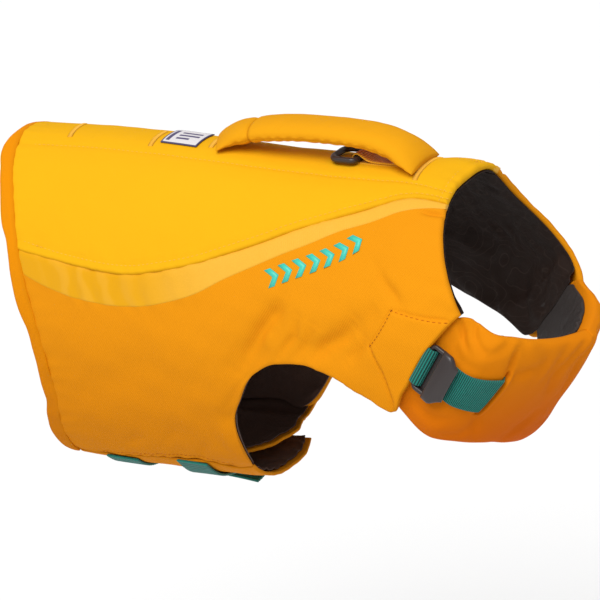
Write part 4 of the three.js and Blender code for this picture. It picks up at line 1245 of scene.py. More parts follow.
def folded_tape(name, node, cut, line, place, finish):
    """A tape folded along a line of lengths, x and z, which place sets on the body."""
    run, x, z = line
    dx, dz = np.gradient(x, run), np.gradient(z, run)
    size = np.hypot(dx, dz)[:, None]
    w = edge_shares(2 * cut["half_width"], cut["across"])[:, 0] * 2 - 1
    edge = np.minimum((1 - np.abs(w))[None] * cut["half_width"], np.minimum(run, run[-1] - run)[:, None])
    ribs = cut["ribs"] * np.sin(2 * math.pi * run / cut["pitch"])
    thick = (cut["half_wall"] + ribs)[:, None] * rounded(edge / cut["round"])
    sideways = np.broadcast_to(w[None] * cut["half_width"], thick.shape)

    def face(sign):
        return place(np.stack([x[:, None] - sign * dz[:, None] / size * thick, sideways,
                               z[:, None] + sign * dx[:, None] / size * thick], -1))

    points, faces = closed_shell(face(1), face(-1))
    uv = np.stack([np.broadcast_to(run[:, None], thick.shape), sideways], -1)
    mesh = make_mesh(name, points, faces, both_faces(uv), both_faces(edge))
    piece = add_piece(name, mesh, FINISHES[finish], [node])
    declare_cloth((2 * cut["half_width"], run[-1]))


def patch(corners, bow=0.0):
    """Places between two pairs of corners: near upper, near lower, far upper, far lower."""
    near_up, near_low, far_up, far_low = (np.array(corner) for corner in corners)

    def place(s, w):
        share = ((1 - w) / 2)[..., None]
        near = mix(near_up, near_low, share)
        far = mix(far_up, far_low, share)
        both = mix(near, far, s[..., None])
        return both[..., 0] - bow * np.sin(math.pi * s), both[..., 1]

    return place


def make_chest_strap(look):
    def level(t, theta, s, w):
        lift = mix(3.2, 0.9, smoothstep(0.0, 0.5, s)) - 3.2 * smoothstep(0.94, 1.0, s)
        return pad_face(t, theta, 1) + rumple(body(t, theta), 0.6 * look.wrinkles, 81, 52) + lift

    tape("Chest_strap_tape", "chest_strap", patch(STRAP_PATCH, 0.006), level, 40.0)


def body_strap(t, start, end, bow=0.0):
    """Places along a strap that goes round the body at t."""
    half = STRAP_WIDTH / 2 / LENGTH_PER_T

    def place(s, w):
        return t + half * w + bow * np.sin(math.pi * s), mix(start, end, s)

    return place


def length_round(t, start, end, count=30):
    """Millimetres round the body at t."""
    return float(cumulated(body(np.full(count, t), np.linspace(start, end, count)), 0)[-1])


def make_belly_straps():
    for word, (t, buckle) in BELLY_STRAPS.items():
        start = -(360 - float(belly_seam(t)) - 0.6)
        end = buckle - BUCKLE_OVERLAP

        def level(at, theta, s, w, seed=91 if word == "rear" else 95):
            free = smoothstep(0.03, 0.2, s) * smoothstep(0.0, 0.2, 1 - s)
            return 0.5 + 0.7 * free * (1 + soft_noise(body(at, theta), 60, seed))

        tape(f"Belly_strap_{word}_tape", f"belly_strap_{word}", body_strap(t, start, end), level,
             length_round(t, start, end, 60), across=10, rib_pitch=2.6, ribs=0.1)
        start, end = buckle + BUCKLE_OVERLAP, buckle + TAB_END
        tape(f"Buckle_tab_{word}_tape", f"buckle_tab_{word}", body_strap(t, start, end),
             lambda at, theta, s, w: 0.5 + 0.2 * (1 - s), length_round(t, start, end))

    def hang(at, theta, s, w):
        return 0.7 + TAIL["above"] + TAIL["drop"] * smoothstep(0.12, 1.0, s) + 0.8 * w * s

    t, _ = BELLY_STRAPS["front"]
    start, end = TAIL["start"], TAIL["end"]
    tape("Belly_strap_tail_tape", "belly_strap_tail", body_strap(t, start, end, 0.004), hang,
         length_round(t, start, end))


def frame_on(t, theta, t_end, theta_end, level, lift):
    """Axes of a hard piece on a surface: x along it and z off it, as a function of local points."""
    def at(a, b):
        a, b = np.array([float(a)]), np.array([float(b)])
        return skin(a, b, level(a, b))[0]

    along_t = at(t + 0.03, theta) - at(t - 0.03, theta)
    along_theta = at(t, theta + 5) - at(t, theta - 5)
    normal = unit(np.cross(along_theta, along_t))
    origin = at(t, theta)
    run = at(t_end, theta_end) - origin
    run = unit(run - normal * np.dot(run, normal))
    across = np.cross(normal, run)
    return lambda p: origin + normal * lift + p[..., :1] * run + p[..., 1:2] * across + p[..., 2:] * normal


def slab(x, half_width, low, high, roll=1.0, columns=14):
    """Points, quads and edge distances of a rounded slab: its width and faces vary along x."""
    x = np.asarray(x, float)
    span = x[-1] - x[0]
    s = edge_shares(span, 26)[:, 0] if span > 4 * EDGE_STEPS[-1] else np.linspace(0, 1, 22)
    key = np.linspace(0, 1, len(x))
    along, half, bottom, top = (np.interp(s, key, np.broadcast_to(row, x.shape))[:, None]
                                for row in (x, half_width, low, high))
    w = np.sin(np.linspace(-math.pi / 2, math.pi / 2, columns))[None]
    middle = np.stack(np.broadcast_arrays(along, w * half, 0.0 * along), -1)
    edge = edge_distance(middle)
    thick = (top - bottom) / 2 * rounded(edge / roll)
    up, down = middle.copy(), middle.copy()
    up[..., 2] = (top + bottom) / 2 + thick
    down[..., 2] = (top + bottom) / 2 - thick
    points, faces = closed_shell(up, down)
    return points, faces, both_faces(edge)


def join_parts(parts):
    """Joins the points, faces and edge distances of several closed parts."""
    points, faces, edges, start = [], [], [], 0
    for part_points, part_faces, part_edge in parts:
        points.append(part_points)
        faces.append(part_faces + start)
        edges.append(np.asarray(part_edge).reshape(-1))
        start += len(part_points)
    return np.concatenate(points), np.concatenate(faces), np.concatenate(edges)


def ring_tube(path, radius_out, radius_up, sides=14, square=0.8):
    """A closed ring along a flat path, with a rounded section."""
    path = np.asarray(path, float)
    run = unit(np.roll(path, -1, axis=0) - np.roll(path, 1, axis=0))
    sideways = np.stack([-run[:, 1], run[:, 0], np.zeros(len(path))], -1)
    angle = np.linspace(0, 2 * math.pi, sides, endpoint=False)
    c, s = (np.sign(f(angle)) * np.abs(f(angle)) ** square for f in (np.cos, np.sin))
    up = np.array([0, 0, 1.0])
    points = (path[:, None] + sideways[:, None] * (radius_out * c)[None, :, None]
              + up * (radius_up * s)[None, :, None])
    index = np.arange(points.shape[0] * sides).reshape(-1, sides)
    index = np.concatenate([index, index[:1]], axis=0)
    index = np.concatenate([index, index[:, :1]], axis=1)
    flat = points.reshape(-1, 3)
    return flat, facing_out(flat, quads(index)), np.full(len(flat), 0.8)


def rounded_path(x0, y0, x1, y1, radii, steps=10):
    """A rounded rectangle as a ring of points, with a radius for each corner."""
    path = []
    for k, radius in enumerate(radii):
        sx, sy = (1, 1, -1, -1)[k], (-1, 1, 1, -1)[k]
        cx = (x1 if sx > 0 else x0) - sx * radius
        cy = (y1 if sy > 0 else y0) - sy * radius
        for a in np.linspace((k - 1) * math.pi / 2, k * math.pi / 2, steps):
            path.append((cx + radius * math.cos(a), cy + radius * math.sin(a), 0.0))
    return path


def hard_piece(name, node, parts, place, body_name=JACKET):
    """One plastic piece of several closed parts."""
    points, faces, edge = join_parts(parts)
    mesh = make_mesh(name, place(points), faces, None, edge)
    add_piece(name, mesh, FINISHES["plastic"], [node], body_name)


def slider_frame():
    """Axes of the slider on the face of the pad."""
    return frame_on(SLIDER["t"], SLIDER["theta"], SLIDER["t_end"], SLIDER["theta_end"],
                    lambda a, b: pad_face(a, b, 1), SLIDER["lift"])


def make_slider():
    """Ladder slider: a rounded frame, the broad domed plate that grips the strap, and a low slab of plastic
    in the slot under it for painted shade.
    """
    rim = ring_tube(rounded_path(SLIDER_BAR, -14.6, 4.0, 14.6, (3.0, 3.0, 2.6, 2.6)), 1.5, 1.7)
    rim[0][:, 2] += 1.6
    x = np.linspace(-2.6, 11.2, 24)
    crown = 1 - ((x - 3.2) / 8.4) ** 2
    half = 16.9 - 5.4 * smoothstep(3.5, 11.6, x)
    plate = slab(x, half, 0.4 + 1.2 * crown, 2.4 + 3.4 * crown, 1.8, columns=22)
    plate[0][:, 2] += 1.2 * (1 - (plate[0][:, 1] / 16.5) ** 2)
    # Painted shade: a low dark slab fills the slot so that it reads as deep shade.
    web = slab(np.linspace(SLIDER_BAR, 0.5, 6), 14.9, -1.6, -0.4, 0.4)
    hard_piece("Chest_slider_ladder", "chest_slider", [rim, plate, web], slider_frame())


def make_chest_loop():
    """Short webbing that comes out of the pocket, over the slider's rear bar and down its slot."""
    corners = np.array(LOOP_OVER_BAR) + (SLIDER_BAR, 0.0)
    keys = cumulated(corners, 0)
    run = np.linspace(0, keys[-1], 150)
    x, z = (lookup(np.stack([keys, corners[:, k]], -1), run) for k in (0, 1))
    folded_tape("Chest_loop_tape", "chest_loop", CHEST_LOOP, (run, x, z), slider_frame(), "webbing")


def make_buckles():
    """Side-release buckles: socket, two arms in its side windows, and the webbing bars."""
    for word, (t, theta) in BELLY_STRAPS.items():
        x = np.linspace(-2.0, 22.5, 12)
        socket = slab(x, np.interp(x, [-2, 4, 10, 22.5], [13.2, 12.6, 16.6, 13.8]), 0.5,
                      np.interp(x, [-2, 3, 16, 22.5], [7.6, 8.6, 7.2, 5.0]), 1.8)
        x = np.linspace(-23, -4, 12)
        base = slab(x, np.interp(x, [-23, -16, -4], [13.6, 15.8, 14.6]), 1.0,
                    np.interp(x, [-23, -14, -4], [4.4, 6.6, 6.2]), 1.6)
        arms = [slab(np.linspace(-8, 11, 14), 1.9, 2.2, 6.2, columns=9) for _ in range(2)]
        for side, (points, _, _) in zip((-1, 1), arms):
            points[:, 1] += side * (14.2 + 1.3 * np.sin((points[:, 0] + 8) / 19 * math.pi))
        ridges = [slab(np.linspace(-19.5 + 2.6 * k, -18.1 + 2.6 * k, 4), 11.0, 4.0, 6.4 + 0.25 * k, 0.6)
                  for k in range(4)]
        bar = slab(np.linspace(17.0, 19.2, 4), 11.5, 2.0, 7.4, 0.8)
        hard_piece(f"Buckle_{word}_body", f"buckle_{word}", [socket, base, *arms, *ridges, bar],
                   frame_on(t, theta, t, theta + 5, lambda a, b: 0.0 * a, BUCKLE_LIFT))


def handle_rings(x):
    """Centre height, half width, half height and slope of the handle at x."""
    z, wide, high = (lookup(np.stack([HANDLE[:, 0], HANDLE[:, k]], -1), x) for k in (1, 2, 3))
    slope = (lookup(HANDLE[:, :2], x + 1.5) - lookup(HANDLE[:, :2], x - 1.5)) / 3.0
    return z, wide, high, slope


def handle_part(name, x, look, nodes, ends):
    """A stuffed length of the handle, with the round-off of its two ends."""
    z, wide, high, slope = handle_rings(x)
    sides = 72
    angle = np.linspace(0, 2 * math.pi, sides, endpoint=False)
    c, s = np.cos(angle), np.sin(angle)
    power = np.where(s < 0, 0.52, 0.86)
    share = np.sign(c) * np.abs(c) ** power
    lower = np.where(s < 0, 0.82, 1.0)
    flare = 1 + 0.17 * smoothstep(112, 130, x) + 0.12 * (1 - smoothstep(-8, 6, x))
    near, far = np.abs(x - x[0]), np.abs(x - x[-1])
    round_off = np.ones_like(x)
    for gap, end in ((near, ends[0]), (far, ends[1])):
        round_off *= 1 - (1 - end) * np.exp(-(gap / 1.4) ** 2)
    rise = (high * round_off)[:, None] * (s * lower)[None]
    tilt = np.arctan(slope)[:, None]
    py = (wide * flare * mix(1.0, round_off, 0.4))[:, None] * share[None]
    skew = (1 - smoothstep(-8, 30, x))[:, None] * (py + wide[:, None]) / (2 * wide[:, None])
    px = x[:, None] - rise * np.sin(tilt) * 0.8 - HANDLE_SKEW * skew
    foot = smoothstep(104, 128, x) + (1 - smoothstep(-6, 10, x))
    pz = z[:, None] + rise * np.cos(tilt) - (foot[:, None]) * py**2 / 170.0
    points = np.stack([px, py, pz], -1)
    seam = sum(np.exp(-((angle - math.radians(place)) / 0.05) ** 2) for place in HANDLE_SEAMS)
    outward = unit(points - np.stack([px, 0 * px, z[:, None] + 0 * px], -1))
    wrinkle = rumple(points, 0.28 * look.wrinkles, 101, 30)
    along = np.repeat(x[:, None], sides, axis=1)
    pucker = 0.25 * np.sin(along * 0.75 + 2 * soft_noise(points, 20, 103)) * (s < -0.1)[None]
    points += outward * (wrinkle + pucker - 0.5 * seam[None])[..., None]
    mesh_points, faces = loft(points)
    gap = np.minimum(near, far)[:, None] + 1.5 + 0 * along
    mesh = make_mesh(name, mesh_points, faces, *with_caps(np.stack([along, cumulated(points, 1)], -1), gap))
    piece = add_piece(name, mesh, FINISHES["handle"], nodes)


def make_handle(look):
    first = np.linspace(HANDLE[0, 0], HANDLE_SEAM_X - 0.4, 60)
    second = np.linspace(HANDLE_SEAM_X, HANDLE[-1, 0], 190)
    handle_part("Handle_tab_cloth", first, look, ["handle_tab"], (1.0, 0.84))
    handle_part("Handle_grip_cloth", second, look, ["handle_grip"], (0.80, 1.0))


def make_ring():
    wide, corner = RING["half_width"], RING["corner"]
    path = rounded_path(-RING["length"], -wide, 0.0, wide, (2.5, 2.5, corner, corner), 14)
    tube = ring_tube(path, RING["bar"], RING["bar"], 18, 0.92)
    centre = (RING["x"], 0.0, RING["z"])
    hard_piece("Leash_ring_moulded", "leash_ring", [tube], lambda points: points + centre, RING_BODY)


def make_leash_loop():
    """Narrow webbing folded round the ring's front bar and sewn down ahead of it."""
    radius = RING["bar"] + LEASH_LOOP["half_wall"] + LEASH_LOOP["slack"]
    low = RING["z"] - radius
    upper = [(119.0, low + 1.35), (102.0, low + 1.35), (98.0, low + 1.5), (94.5, low + 2.4)]
    bend = [(RING["x"] + radius * math.cos(a), RING["z"] + radius * math.sin(a))
            for a in np.radians(np.linspace(62, 270, 40))]
    lower = [(x, low) for x in (92.0, 97.0, 102.0, 119.0)]
    corners = np.array(upper + bend + lower)
    keys = cumulated(corners, 0)
    run = np.linspace(0, keys[-1], 170)
    x, z = (np.interp(run, keys, corners[:, k]) for k in (0, 1))
    # Its width runs to the wearer's right, which is -Y
    folded_tape("Leash_loop_tape", "leash_loop", LEASH_LOOP, (run, x, z), lambda points: points * (1, -1, 1),
                "loop")


def make_label(look):
    def edge(theta):
        return lambda s: (mix(*LABEL_T, s), np.full_like(s, theta))

    grid = place_grid(edge(LABEL_THETA[0]), edge(LABEL_THETA[1]), 30, 40)
    t, theta = grid
    level = back_level(t, theta, look)
    piece = cloth_piece("Back_label_woven", grid, level + 1.15, level + 0.35, "label",
                        ["back_label"], roll=0.4)
    s = (t - LABEL_T[0]) / (LABEL_T[1] - LABEL_T[0])
    w = (theta - LABEL_THETA[0]) / (LABEL_THETA[1] - LABEL_THETA[0])
    left = (np.abs(s - 0.14) < 0.055) & (np.abs(w - 0.5) < 0.36)
    bars = np.zeros(t.shape, bool)
    for centre, low, high in LABEL_BARS:
        bars |= (np.abs(w - centre) < 0.05) & (s > low) & (s < high)
    band = piece.data.attributes.new("band", "FLOAT", "POINT")
    band.data.foreach_set("value", both_faces((left | bars).astype(np.float32)).ravel())


def row_tree():
    """Sets copies of a small piece along seams, turned with the seam and the cloth."""
    tree = bpy.data.node_groups.new("Row_along_a_seam", "GeometryNodeTree")
    for label, kind in (("Seams", "Geometry"), ("Spacing", "Float"), ("Piece", "Object"),
                        ("Size", "Vector"), ("Finish", "Material")):
        tree.interface.new_socket(label, in_out="INPUT", socket_type=f"NodeSocket{kind}")
    tree.interface.new_socket("Row", in_out="OUTPUT", socket_type="NodeSocketGeometry")
    new = tree.nodes.new
    link = tree.links.new
    given = new("NodeGroupInput")
    curve = new("GeometryNodeMeshToCurve")
    spaced = new("GeometryNodeResampleCurve")
    spaced.mode = "LENGTH"
    tangent = new("GeometryNodeInputTangent")
    out = new("GeometryNodeInputNamedAttribute")
    out.data_type = "FLOAT_VECTOR"
    out.inputs["Name"].default_value = "out"
    along = new("FunctionNodeAlignRotationToVector")
    along.axis = "X"
    up = new("FunctionNodeAlignRotationToVector")
    up.axis = "Z"
    up.pivot_axis = "X"
    piece = new("GeometryNodeObjectInfo")
    copies = new("GeometryNodeInstanceOnPoints")
    real = new("GeometryNodeRealizeInstances")
    dressed = new("GeometryNodeSetMaterial")
    done = new("NodeGroupOutput")
    link(given.outputs["Seams"], curve.inputs["Mesh"])
    link(curve.outputs["Curve"], spaced.inputs["Curve"])
    link(given.outputs["Spacing"], spaced.inputs["Length"])
    link(tangent.outputs["Tangent"], along.inputs["Vector"])
    link(along.outputs["Rotation"], up.inputs["Rotation"])
    link(out.outputs["Attribute"], up.inputs["Vector"])
    link(given.outputs["Piece"], piece.inputs["Object"])
    link(spaced.outputs["Curve"], copies.inputs["Points"])
    link(piece.outputs["Geometry"], copies.inputs["Instance"])
    link(up.outputs["Rotation"], copies.inputs["Rotation"])
    link(given.outputs["Size"], copies.inputs["Scale"])
    link(copies.outputs["Instances"], real.inputs["Geometry"])
    link(real.outputs["Geometry"], dressed.inputs["Geometry"])
    link(given.outputs["Finish"], dressed.inputs["Material"])
    link(dressed.outputs["Geometry"], done.inputs["Row"])
    return tree


ROW_TREES = []


def row_piece(name, runs, unit_mesh, spacing, size, finish):
    """One mesh of copies along runs, each run a list of points and of directions off the cloth."""
    points, outs, edges = [], [], []
    for run, off in runs:
        start = sum(len(p) for p in points)
        points.append(run)
        outs.append(off)
        edges += [(start + k, start + k + 1) for k in range(len(run) - 1)]
    points, outs = np.concatenate(points), np.concatenate(outs)
    guide = bpy.data.meshes.new(name + "_guide")
    guide.from_pydata((points * MM).tolist(), edges, [])
    out = guide.attributes.new("out", "FLOAT_VECTOR", "POINT")
    out.data.foreach_set("vector", outs.astype(np.float32).ravel())
    holder = bpy.data.objects.new(name + "_guide", guide)
    sample = bpy.data.objects.new(name + "_sample", unit_mesh)
    for made in (holder, sample):
        bpy.context.scene.collection.objects.link(made)
    if not ROW_TREES:
        ROW_TREES.append(row_tree())
    tree = ROW_TREES[0]
    modifier = holder.modifiers.new("Row", "NODES")
    modifier.node_group = tree
    values = {"Spacing": spacing * MM, "Piece": sample, "Size": [v * MM for v in size],
              "Finish": FINISHES[finish]}
    for item in tree.interface.items_tree:
        if item.in_out == "INPUT" and item.name in values:
            modifier[item.identifier] = values[item.name]
    graph = bpy.context.evaluated_depsgraph_get()
    mesh = bpy.data.meshes.new_from_object(holder.evaluated_get(graph), depsgraph=graph)
    mesh.name = name
    for made in (holder, sample):
        bpy.data.objects.remove(made)
    mesh.polygons.foreach_set("use_smooth", [True] * len(mesh.polygons))
    return add_piece(name, mesh, FINISHES[finish])


def stitch_mesh():
    """A stitch of unit length: a plump thread that dips at both ends."""
    rings = []
    for x in np.linspace(-0.5, 0.5, 7):
        radius = 0.5 * math.sqrt(max(1 - (2 * x) ** 4, 0.02))
        rings.append([(x, radius * math.cos(a), radius * math.sin(a) - 0.9 * (2 * x) ** 4)
                      for a in np.linspace(0, 2 * math.pi, 6, endpoint=False)])
    points, faces = loft(rings)
    return make_mesh("Stitch", np.asarray(points) / MM, faces)


def chevron_mesh():
    """A chevron of unit height and thickness, pointing along x."""
    outline = [(-0.42, -0.5), (0.0, -0.5), (0.42, 0.0), (0.0, 0.5), (-0.42, 0.5), (0.0, 0.0)]
    low = [(x, y, -0.5) for x, y in outline]
    high = [(x, y, 0.5) for x, y in outline]
    points = np.array(low + high) / MM
    faces = [(6, 7, 8, 11), (8, 9, 10, 11), (1, 0, 5, 2), (2, 5, 4, 3)]
    faces += [(k, (k + 1) % 6, (k + 1) % 6 + 6, k + 6) for k in range(6)]
    mesh = make_mesh("Chevron", points, np.array(faces))
    mesh.polygons.foreach_set("use_smooth", [False] * len(mesh.polygons))
    return mesh


def run_on(t, theta, level):
    """Points of a seam on the cloth, and the directions off it."""
    t, theta = np.asarray(t, float), np.asarray(theta, float)
    return skin(t, theta, level(t, theta)), body_normal(t, theta)


def dense(points, count=60):
    """Even places along straight lines between corners of t and theta."""
    points = np.array(points, float)
    steps = np.hypot(np.diff(points[:, 0]) * LENGTH_PER_T, np.diff(points[:, 1]) * ARC_PER_DEGREE)
    keys = np.concatenate([[0], np.cumsum(steps)])
    s = np.linspace(0, keys[-1], count)
    return np.interp(s, keys, points[:, 0]), np.interp(s, keys, points[:, 1])


def make_stitches(look):
    def back(t, theta):
        return back_level(t, theta, look) + 0.12

    def side(t, theta):
        return side_level(t, theta, 1 if theta.mean() > 0 else -1, look) + 0.12

    t = np.linspace(0.042, 0.978, 240)
    pale, orange, dark = [], [], []
    for word in (1, -1):
        pale.append(run_on(t, word * (seam_at(t) - 3.1), back))
        row = section(t)
        theta = np.degrees(np.arcsin((CENTRE_LINE / row[:, 4]) ** (1 / row[:, 7])))
        pale.append(run_on(t, word * theta, back))
        _, low_t, low_theta = outline(word, np.linspace(0, 1, 900))
        rear = low_t < 0.40
        pinch = 4.6 / ARC_PER_DEGREE
        orange.append(run_on(low_t[rear], low_theta[rear] - word * pinch, side))
    pale.append(run_on(np.full(80, NECK_T - NECK_STITCHING / LENGTH_PER_T), np.linspace(-22, 22, 80), back))
    for line in POCKET_SEAM:
        orange.append(run_on(*dense(line), side))
    dark.append(run_on(*dense(POCKET_TACK), side))
    stitch = stitch_mesh()
    size = (look.stitch_length / MM, 0.5, 0.42)
    pitch = look.stitch_pitch / MM
    row_piece("Back_stitching", pale, stitch, pitch, size, "pale_thread")
    row_piece("Side_stitching", orange, stitch, pitch, size, "orange_thread")
    row_piece("Pocket_tack_stitching", dark, stitch, pitch * 0.8, (size[0] * 0.75, 0.6, 0.5), "dark_thread")
    bands = []
    for line in CENTRE_BANDS:
        points, normal = run_on(*dense(line, 24), back)
        bands.append((points + normal * 0.15, normal))
    row_piece("Handle_tack_bands", bands, stitch, 0.75, (0.7, 3.6, 0.55), "pale_thread")


def make_chevrons(look):
    runs = []
    for word in (1, -1):
        line = [(t, word * theta) for t, theta in CHEVRON_LINE]
        runs.append(run_on(*dense(line, 30), lambda t, theta: side_level(t, theta, word, look) + 0.1))
    row_piece("Side_chevrons", runs, chevron_mesh(), 9.6, (11.0, 11.5, 0.45), "print")


def make_stage(look):
    """Floor, soft studio light and the camera at the photograph's angle."""
    low = CAD_BOX[0][2] - 0.35
    row = np.linspace(-FLOOR_HALF, FLOOR_HALF, FLOOR_POINTS)
    x, y = np.meshgrid(row, row, indexing="ij")
    points = np.stack([x, y, np.full_like(x, low / MM)], -1).reshape(-1, 3)
    index = np.arange(FLOOR_POINTS ** 2).reshape(FLOOR_POINTS, -1)
    floor = bpy.data.objects.new("Studio_floor", make_mesh("Studio_floor", points, quads(index)))
    f = Finish("Studio_floor_paper")
    f.finish(f.blend(f.noise(30.0) * 0.15, (0.81, 0.81, 0.81, 1), (0.79, 0.79, 0.79, 1)), 0.9)
    floor.data.materials.append(f.material)
    bpy.context.scene.collection.objects.link(floor)

    world = bpy.data.worlds.new("Studio_light")
    world.use_nodes = True
    background = world.node_tree.nodes["Background"]
    background.inputs["Color"].default_value = (1.0, 1.0, 1.0, 1.0)
    background.inputs["Strength"].default_value = look.ambient
    bpy.context.scene.world = world
    bpy.context.scene.view_settings.view_transform = "Standard"

    azimuth, elevation, roll = (math.radians(v) for v in (CAMERA_AZIMUTH, CAMERA_ELEVATION, CAMERA_ROLL))
    level_out = math.cos(elevation)
    back = Vector((math.sin(azimuth) * level_out, -math.cos(azimuth) * level_out, math.sin(elevation)))
    side = Vector((math.cos(azimuth), math.sin(azimuth), 0.0))
    raised = back.cross(side)
    right = side * math.cos(roll) - raised * math.sin(roll)
    up = back.cross(right)
    camera = bpy.data.objects.new("Photo_camera", bpy.data.cameras.new("Photo_camera"))
    place = Matrix((right, up, back)).transposed().to_4x4()
    place.translation = CAMERA_TARGET + back * CAMERA_DISTANCE
    camera.matrix_world = place
    camera.data.sensor_width = SENSOR
    camera.data.lens = SENSOR * CAMERA_DISTANCE / FRAME_WIDTH
    camera.data.clip_end = 50
    bpy.context.scene.collection.objects.link(camera)
    bpy.context.scene.camera = camera

    sun = bpy.data.lights.new("Soft_light", "SUN")
    sun.angle = math.radians(look.softness)
    sun.energy = look.light
    holder = bpy.data.objects.new("Soft_light", sun)
    holder.rotation_euler = LIGHT_FROM.to_track_quat("Z", "Y").to_euler()
    bpy.context.scene.collection.objects.link(holder)


def dye(name, description, colour):
    """A colour of the panel, from screen values up to 255."""
    return FloatVectorProperty(name=name, description=description, subtype="COLOR_GAMMA", size=3,
                               min=0.0, max=1.0, default=tuple(c / 255 for c in colour))


class LifeJacketLook(bpy.types.PropertyGroup):
    """Colours and small sizes of the jacket."""

    yellow: dye("Back yellow", "Colour of the back panel", (226, 166, 18))
    orange: dye("Side orange", "Colour of the side panels and belly flaps", (221, 140, 14))
    pad_orange: dye("Pad orange", "Colour of the chest pad cover", (216, 130, 10))
    # Painted shade: the two darker oranges below are blended into the cloth towards the bottom.
    shaded_orange: dye("Side orange for painted shade", "Colour of the side panels low down", (200, 116, 4))
    shaded_pad_orange: dye("Pad orange for painted shade", "Colour of the chest pad low down", (196, 84, 0))
    handle: dye("Handle orange", "Colour of the handle cover", (222, 152, 18))
    binding: dye("Binding orange", "Colour of the hem binding", (226, 138, 4))
    gold: dye("Stripe gold", "Colour of the stripe near the tail", (222, 158, 4))
    pale_gold: dye("Stripe pale gold", "Colour of the stripe near the neck", (218, 162, 50))
    lining: dye("Lining", "Colour of the dark lining", (38, 26, 21))
    lining_line: dye("Lining wave", "Colour of the waves in the lining", (66, 54, 48))
    pad_lining: dye("Pad lining", "Colour of the lining inside the chest pad", (56, 50, 48))
    teal: dye("Webbing teal", "Colour of the straps", (4, 116, 104))
    teal_print: dye("Print teal", "Colour of the row of chevrons", (60, 190, 170))
    grey: dye("Plastic grey", "Colour of the slider, buckles and ring", (48, 40, 39))
    thread: dye("Orange thread", "Colour of the side stitching", (196, 104, 8))
    pale_thread: dye("Pale thread", "Colour of the stitching and bands of the back", (240, 182, 66))
    dark_thread: dye("Dark thread", "Colour of the pocket tack", (120, 56, 10))
    label: dye("Label ground", "Colour of the woven label", (226, 222, 224))
    label_ink: dye("Label bars", "Colour of the label's border and bars", (74, 66, 106))
    weave_pitch: FloatProperty(name="Twill pitch", description="Distance between twill lines",
                               default=0.0014, min=0.0005, max=0.005, unit="LENGTH", precision=4)
    stitch_pitch: FloatProperty(name="Stitch pitch", description="Distance between stitches",
                                default=0.0033, min=0.001, max=0.01, unit="LENGTH", precision=4)
    stitch_length: FloatProperty(name="Stitch length", description="Visible length of a stitch",
                                 default=0.0024, min=0.0005, max=0.008, unit="LENGTH", precision=4)
    wrinkles: FloatProperty(name="Wrinkles", description="Strength of the cloth's uneven surface",
                            default=1.0, min=0.0, max=2.0, subtype="FACTOR")
    detail: IntProperty(name="Detail", description="Rows of the cloth meshes", default=120, min=40, max=200)
    light: FloatProperty(name="Light", description="Strength of the soft light from above", default=2.98,
                         min=0.0, max=20.0)
    softness: FloatProperty(name="Softness", description="Width of the soft light in degrees", default=42.0,
                            min=1.0, max=120.0)
    ambient: FloatProperty(name="Ambient light", description="Strength of the light from all round",
                           default=0.5, min=0.0, max=3.0)


class LIFEJACKET_OT_stage(bpy.types.Operator):
    """Makes the floor, the light and the camera"""
    bl_idname = "lifejacket.stage"
    bl_label = "Stage"

    def execute(self, context):
        make_stage(context.scene.life_jacket)
        return {"FINISHED"}


class LIFEJACKET_OT_finishes(bpy.types.Operator):
    """Makes the cloth, webbing and plastic materials"""
    bl_idname = "lifejacket.finishes"
    bl_label = "Finishes"

    def execute(self, context):
        make_finishes(context.scene.life_jacket)
        return {"FINISHED"}


class LIFEJACKET_OT_back(bpy.types.Operator):
    """Makes the yellow back panel"""
    bl_idname = "lifejacket.back"
    bl_label = "Back panel"

    def execute(self, context):
        make_back(context.scene.life_jacket)
        return {"FINISHED"}


class LIFEJACKET_OT_sides(bpy.types.Operator):
    """Makes the side panels and their stripes"""
    bl_idname = "lifejacket.sides"
    bl_label = "Side panels"

    def execute(self, context):
        make_sides(context.scene.life_jacket)
        return {"FINISHED"}


class LIFEJACKET_OT_linings(bpy.types.Operator):
    """Makes the dark linings of the back and sides"""
    bl_idname = "lifejacket.linings"
    bl_label = "Linings"

    def execute(self, context):
        make_linings(context.scene.life_jacket)
        return {"FINISHED"}


class LIFEJACKET_OT_flaps(bpy.types.Operator):
    """Makes the belly flaps and their linings"""
    bl_idname = "lifejacket.flaps"
    bl_label = "Belly flaps"

    def execute(self, context):
        make_flaps(context.scene.life_jacket)
        return {"FINISHED"}


class LIFEJACKET_OT_hem(bpy.types.Operator):
    """Makes the binding round the tail opening"""
    bl_idname = "lifejacket.hem"
    bl_label = "Hem binding"

    def execute(self, context):
        make_hem(context.scene.life_jacket)
        return {"FINISHED"}


class LIFEJACKET_OT_pad(bpy.types.Operator):
    """Makes the stuffed chest pad and its lining"""
    bl_idname = "lifejacket.pad"
    bl_label = "Chest pad"

    def execute(self, context):
        make_pad(context.scene.life_jacket)
        return {"FINISHED"}


class LIFEJACKET_OT_chest_strap(bpy.types.Operator):
    """Makes the chest strap on the pad"""
    bl_idname = "lifejacket.chest_strap"
    bl_label = "Chest strap"

    def execute(self, context):
        make_chest_strap(context.scene.life_jacket)
        return {"FINISHED"}


class LIFEJACKET_OT_slider(bpy.types.Operator):
    """Makes the ladder slider on the chest strap"""
    bl_idname = "lifejacket.slider"
    bl_label = "Slider"

    def execute(self, context):
        make_slider()
        return {"FINISHED"}


class LIFEJACKET_OT_chest_loop(bpy.types.Operator):
    """Makes the webbing loop that holds the slider"""
    bl_idname = "lifejacket.chest_loop"
    bl_label = "Chest loop"

    def execute(self, context):
        make_chest_loop()
        return {"FINISHED"}


class LIFEJACKET_OT_belly_straps(bpy.types.Operator):
    """Makes the belly straps, tabs and free end"""
    bl_idname = "lifejacket.belly_straps"
    bl_label = "Belly straps"

    def execute(self, context):
        make_belly_straps()
        return {"FINISHED"}


class LIFEJACKET_OT_buckles(bpy.types.Operator):
    """Makes the two side-release buckles"""
    bl_idname = "lifejacket.buckles"
    bl_label = "Buckles"

    def execute(self, context):
        make_buckles()
        return {"FINISHED"}


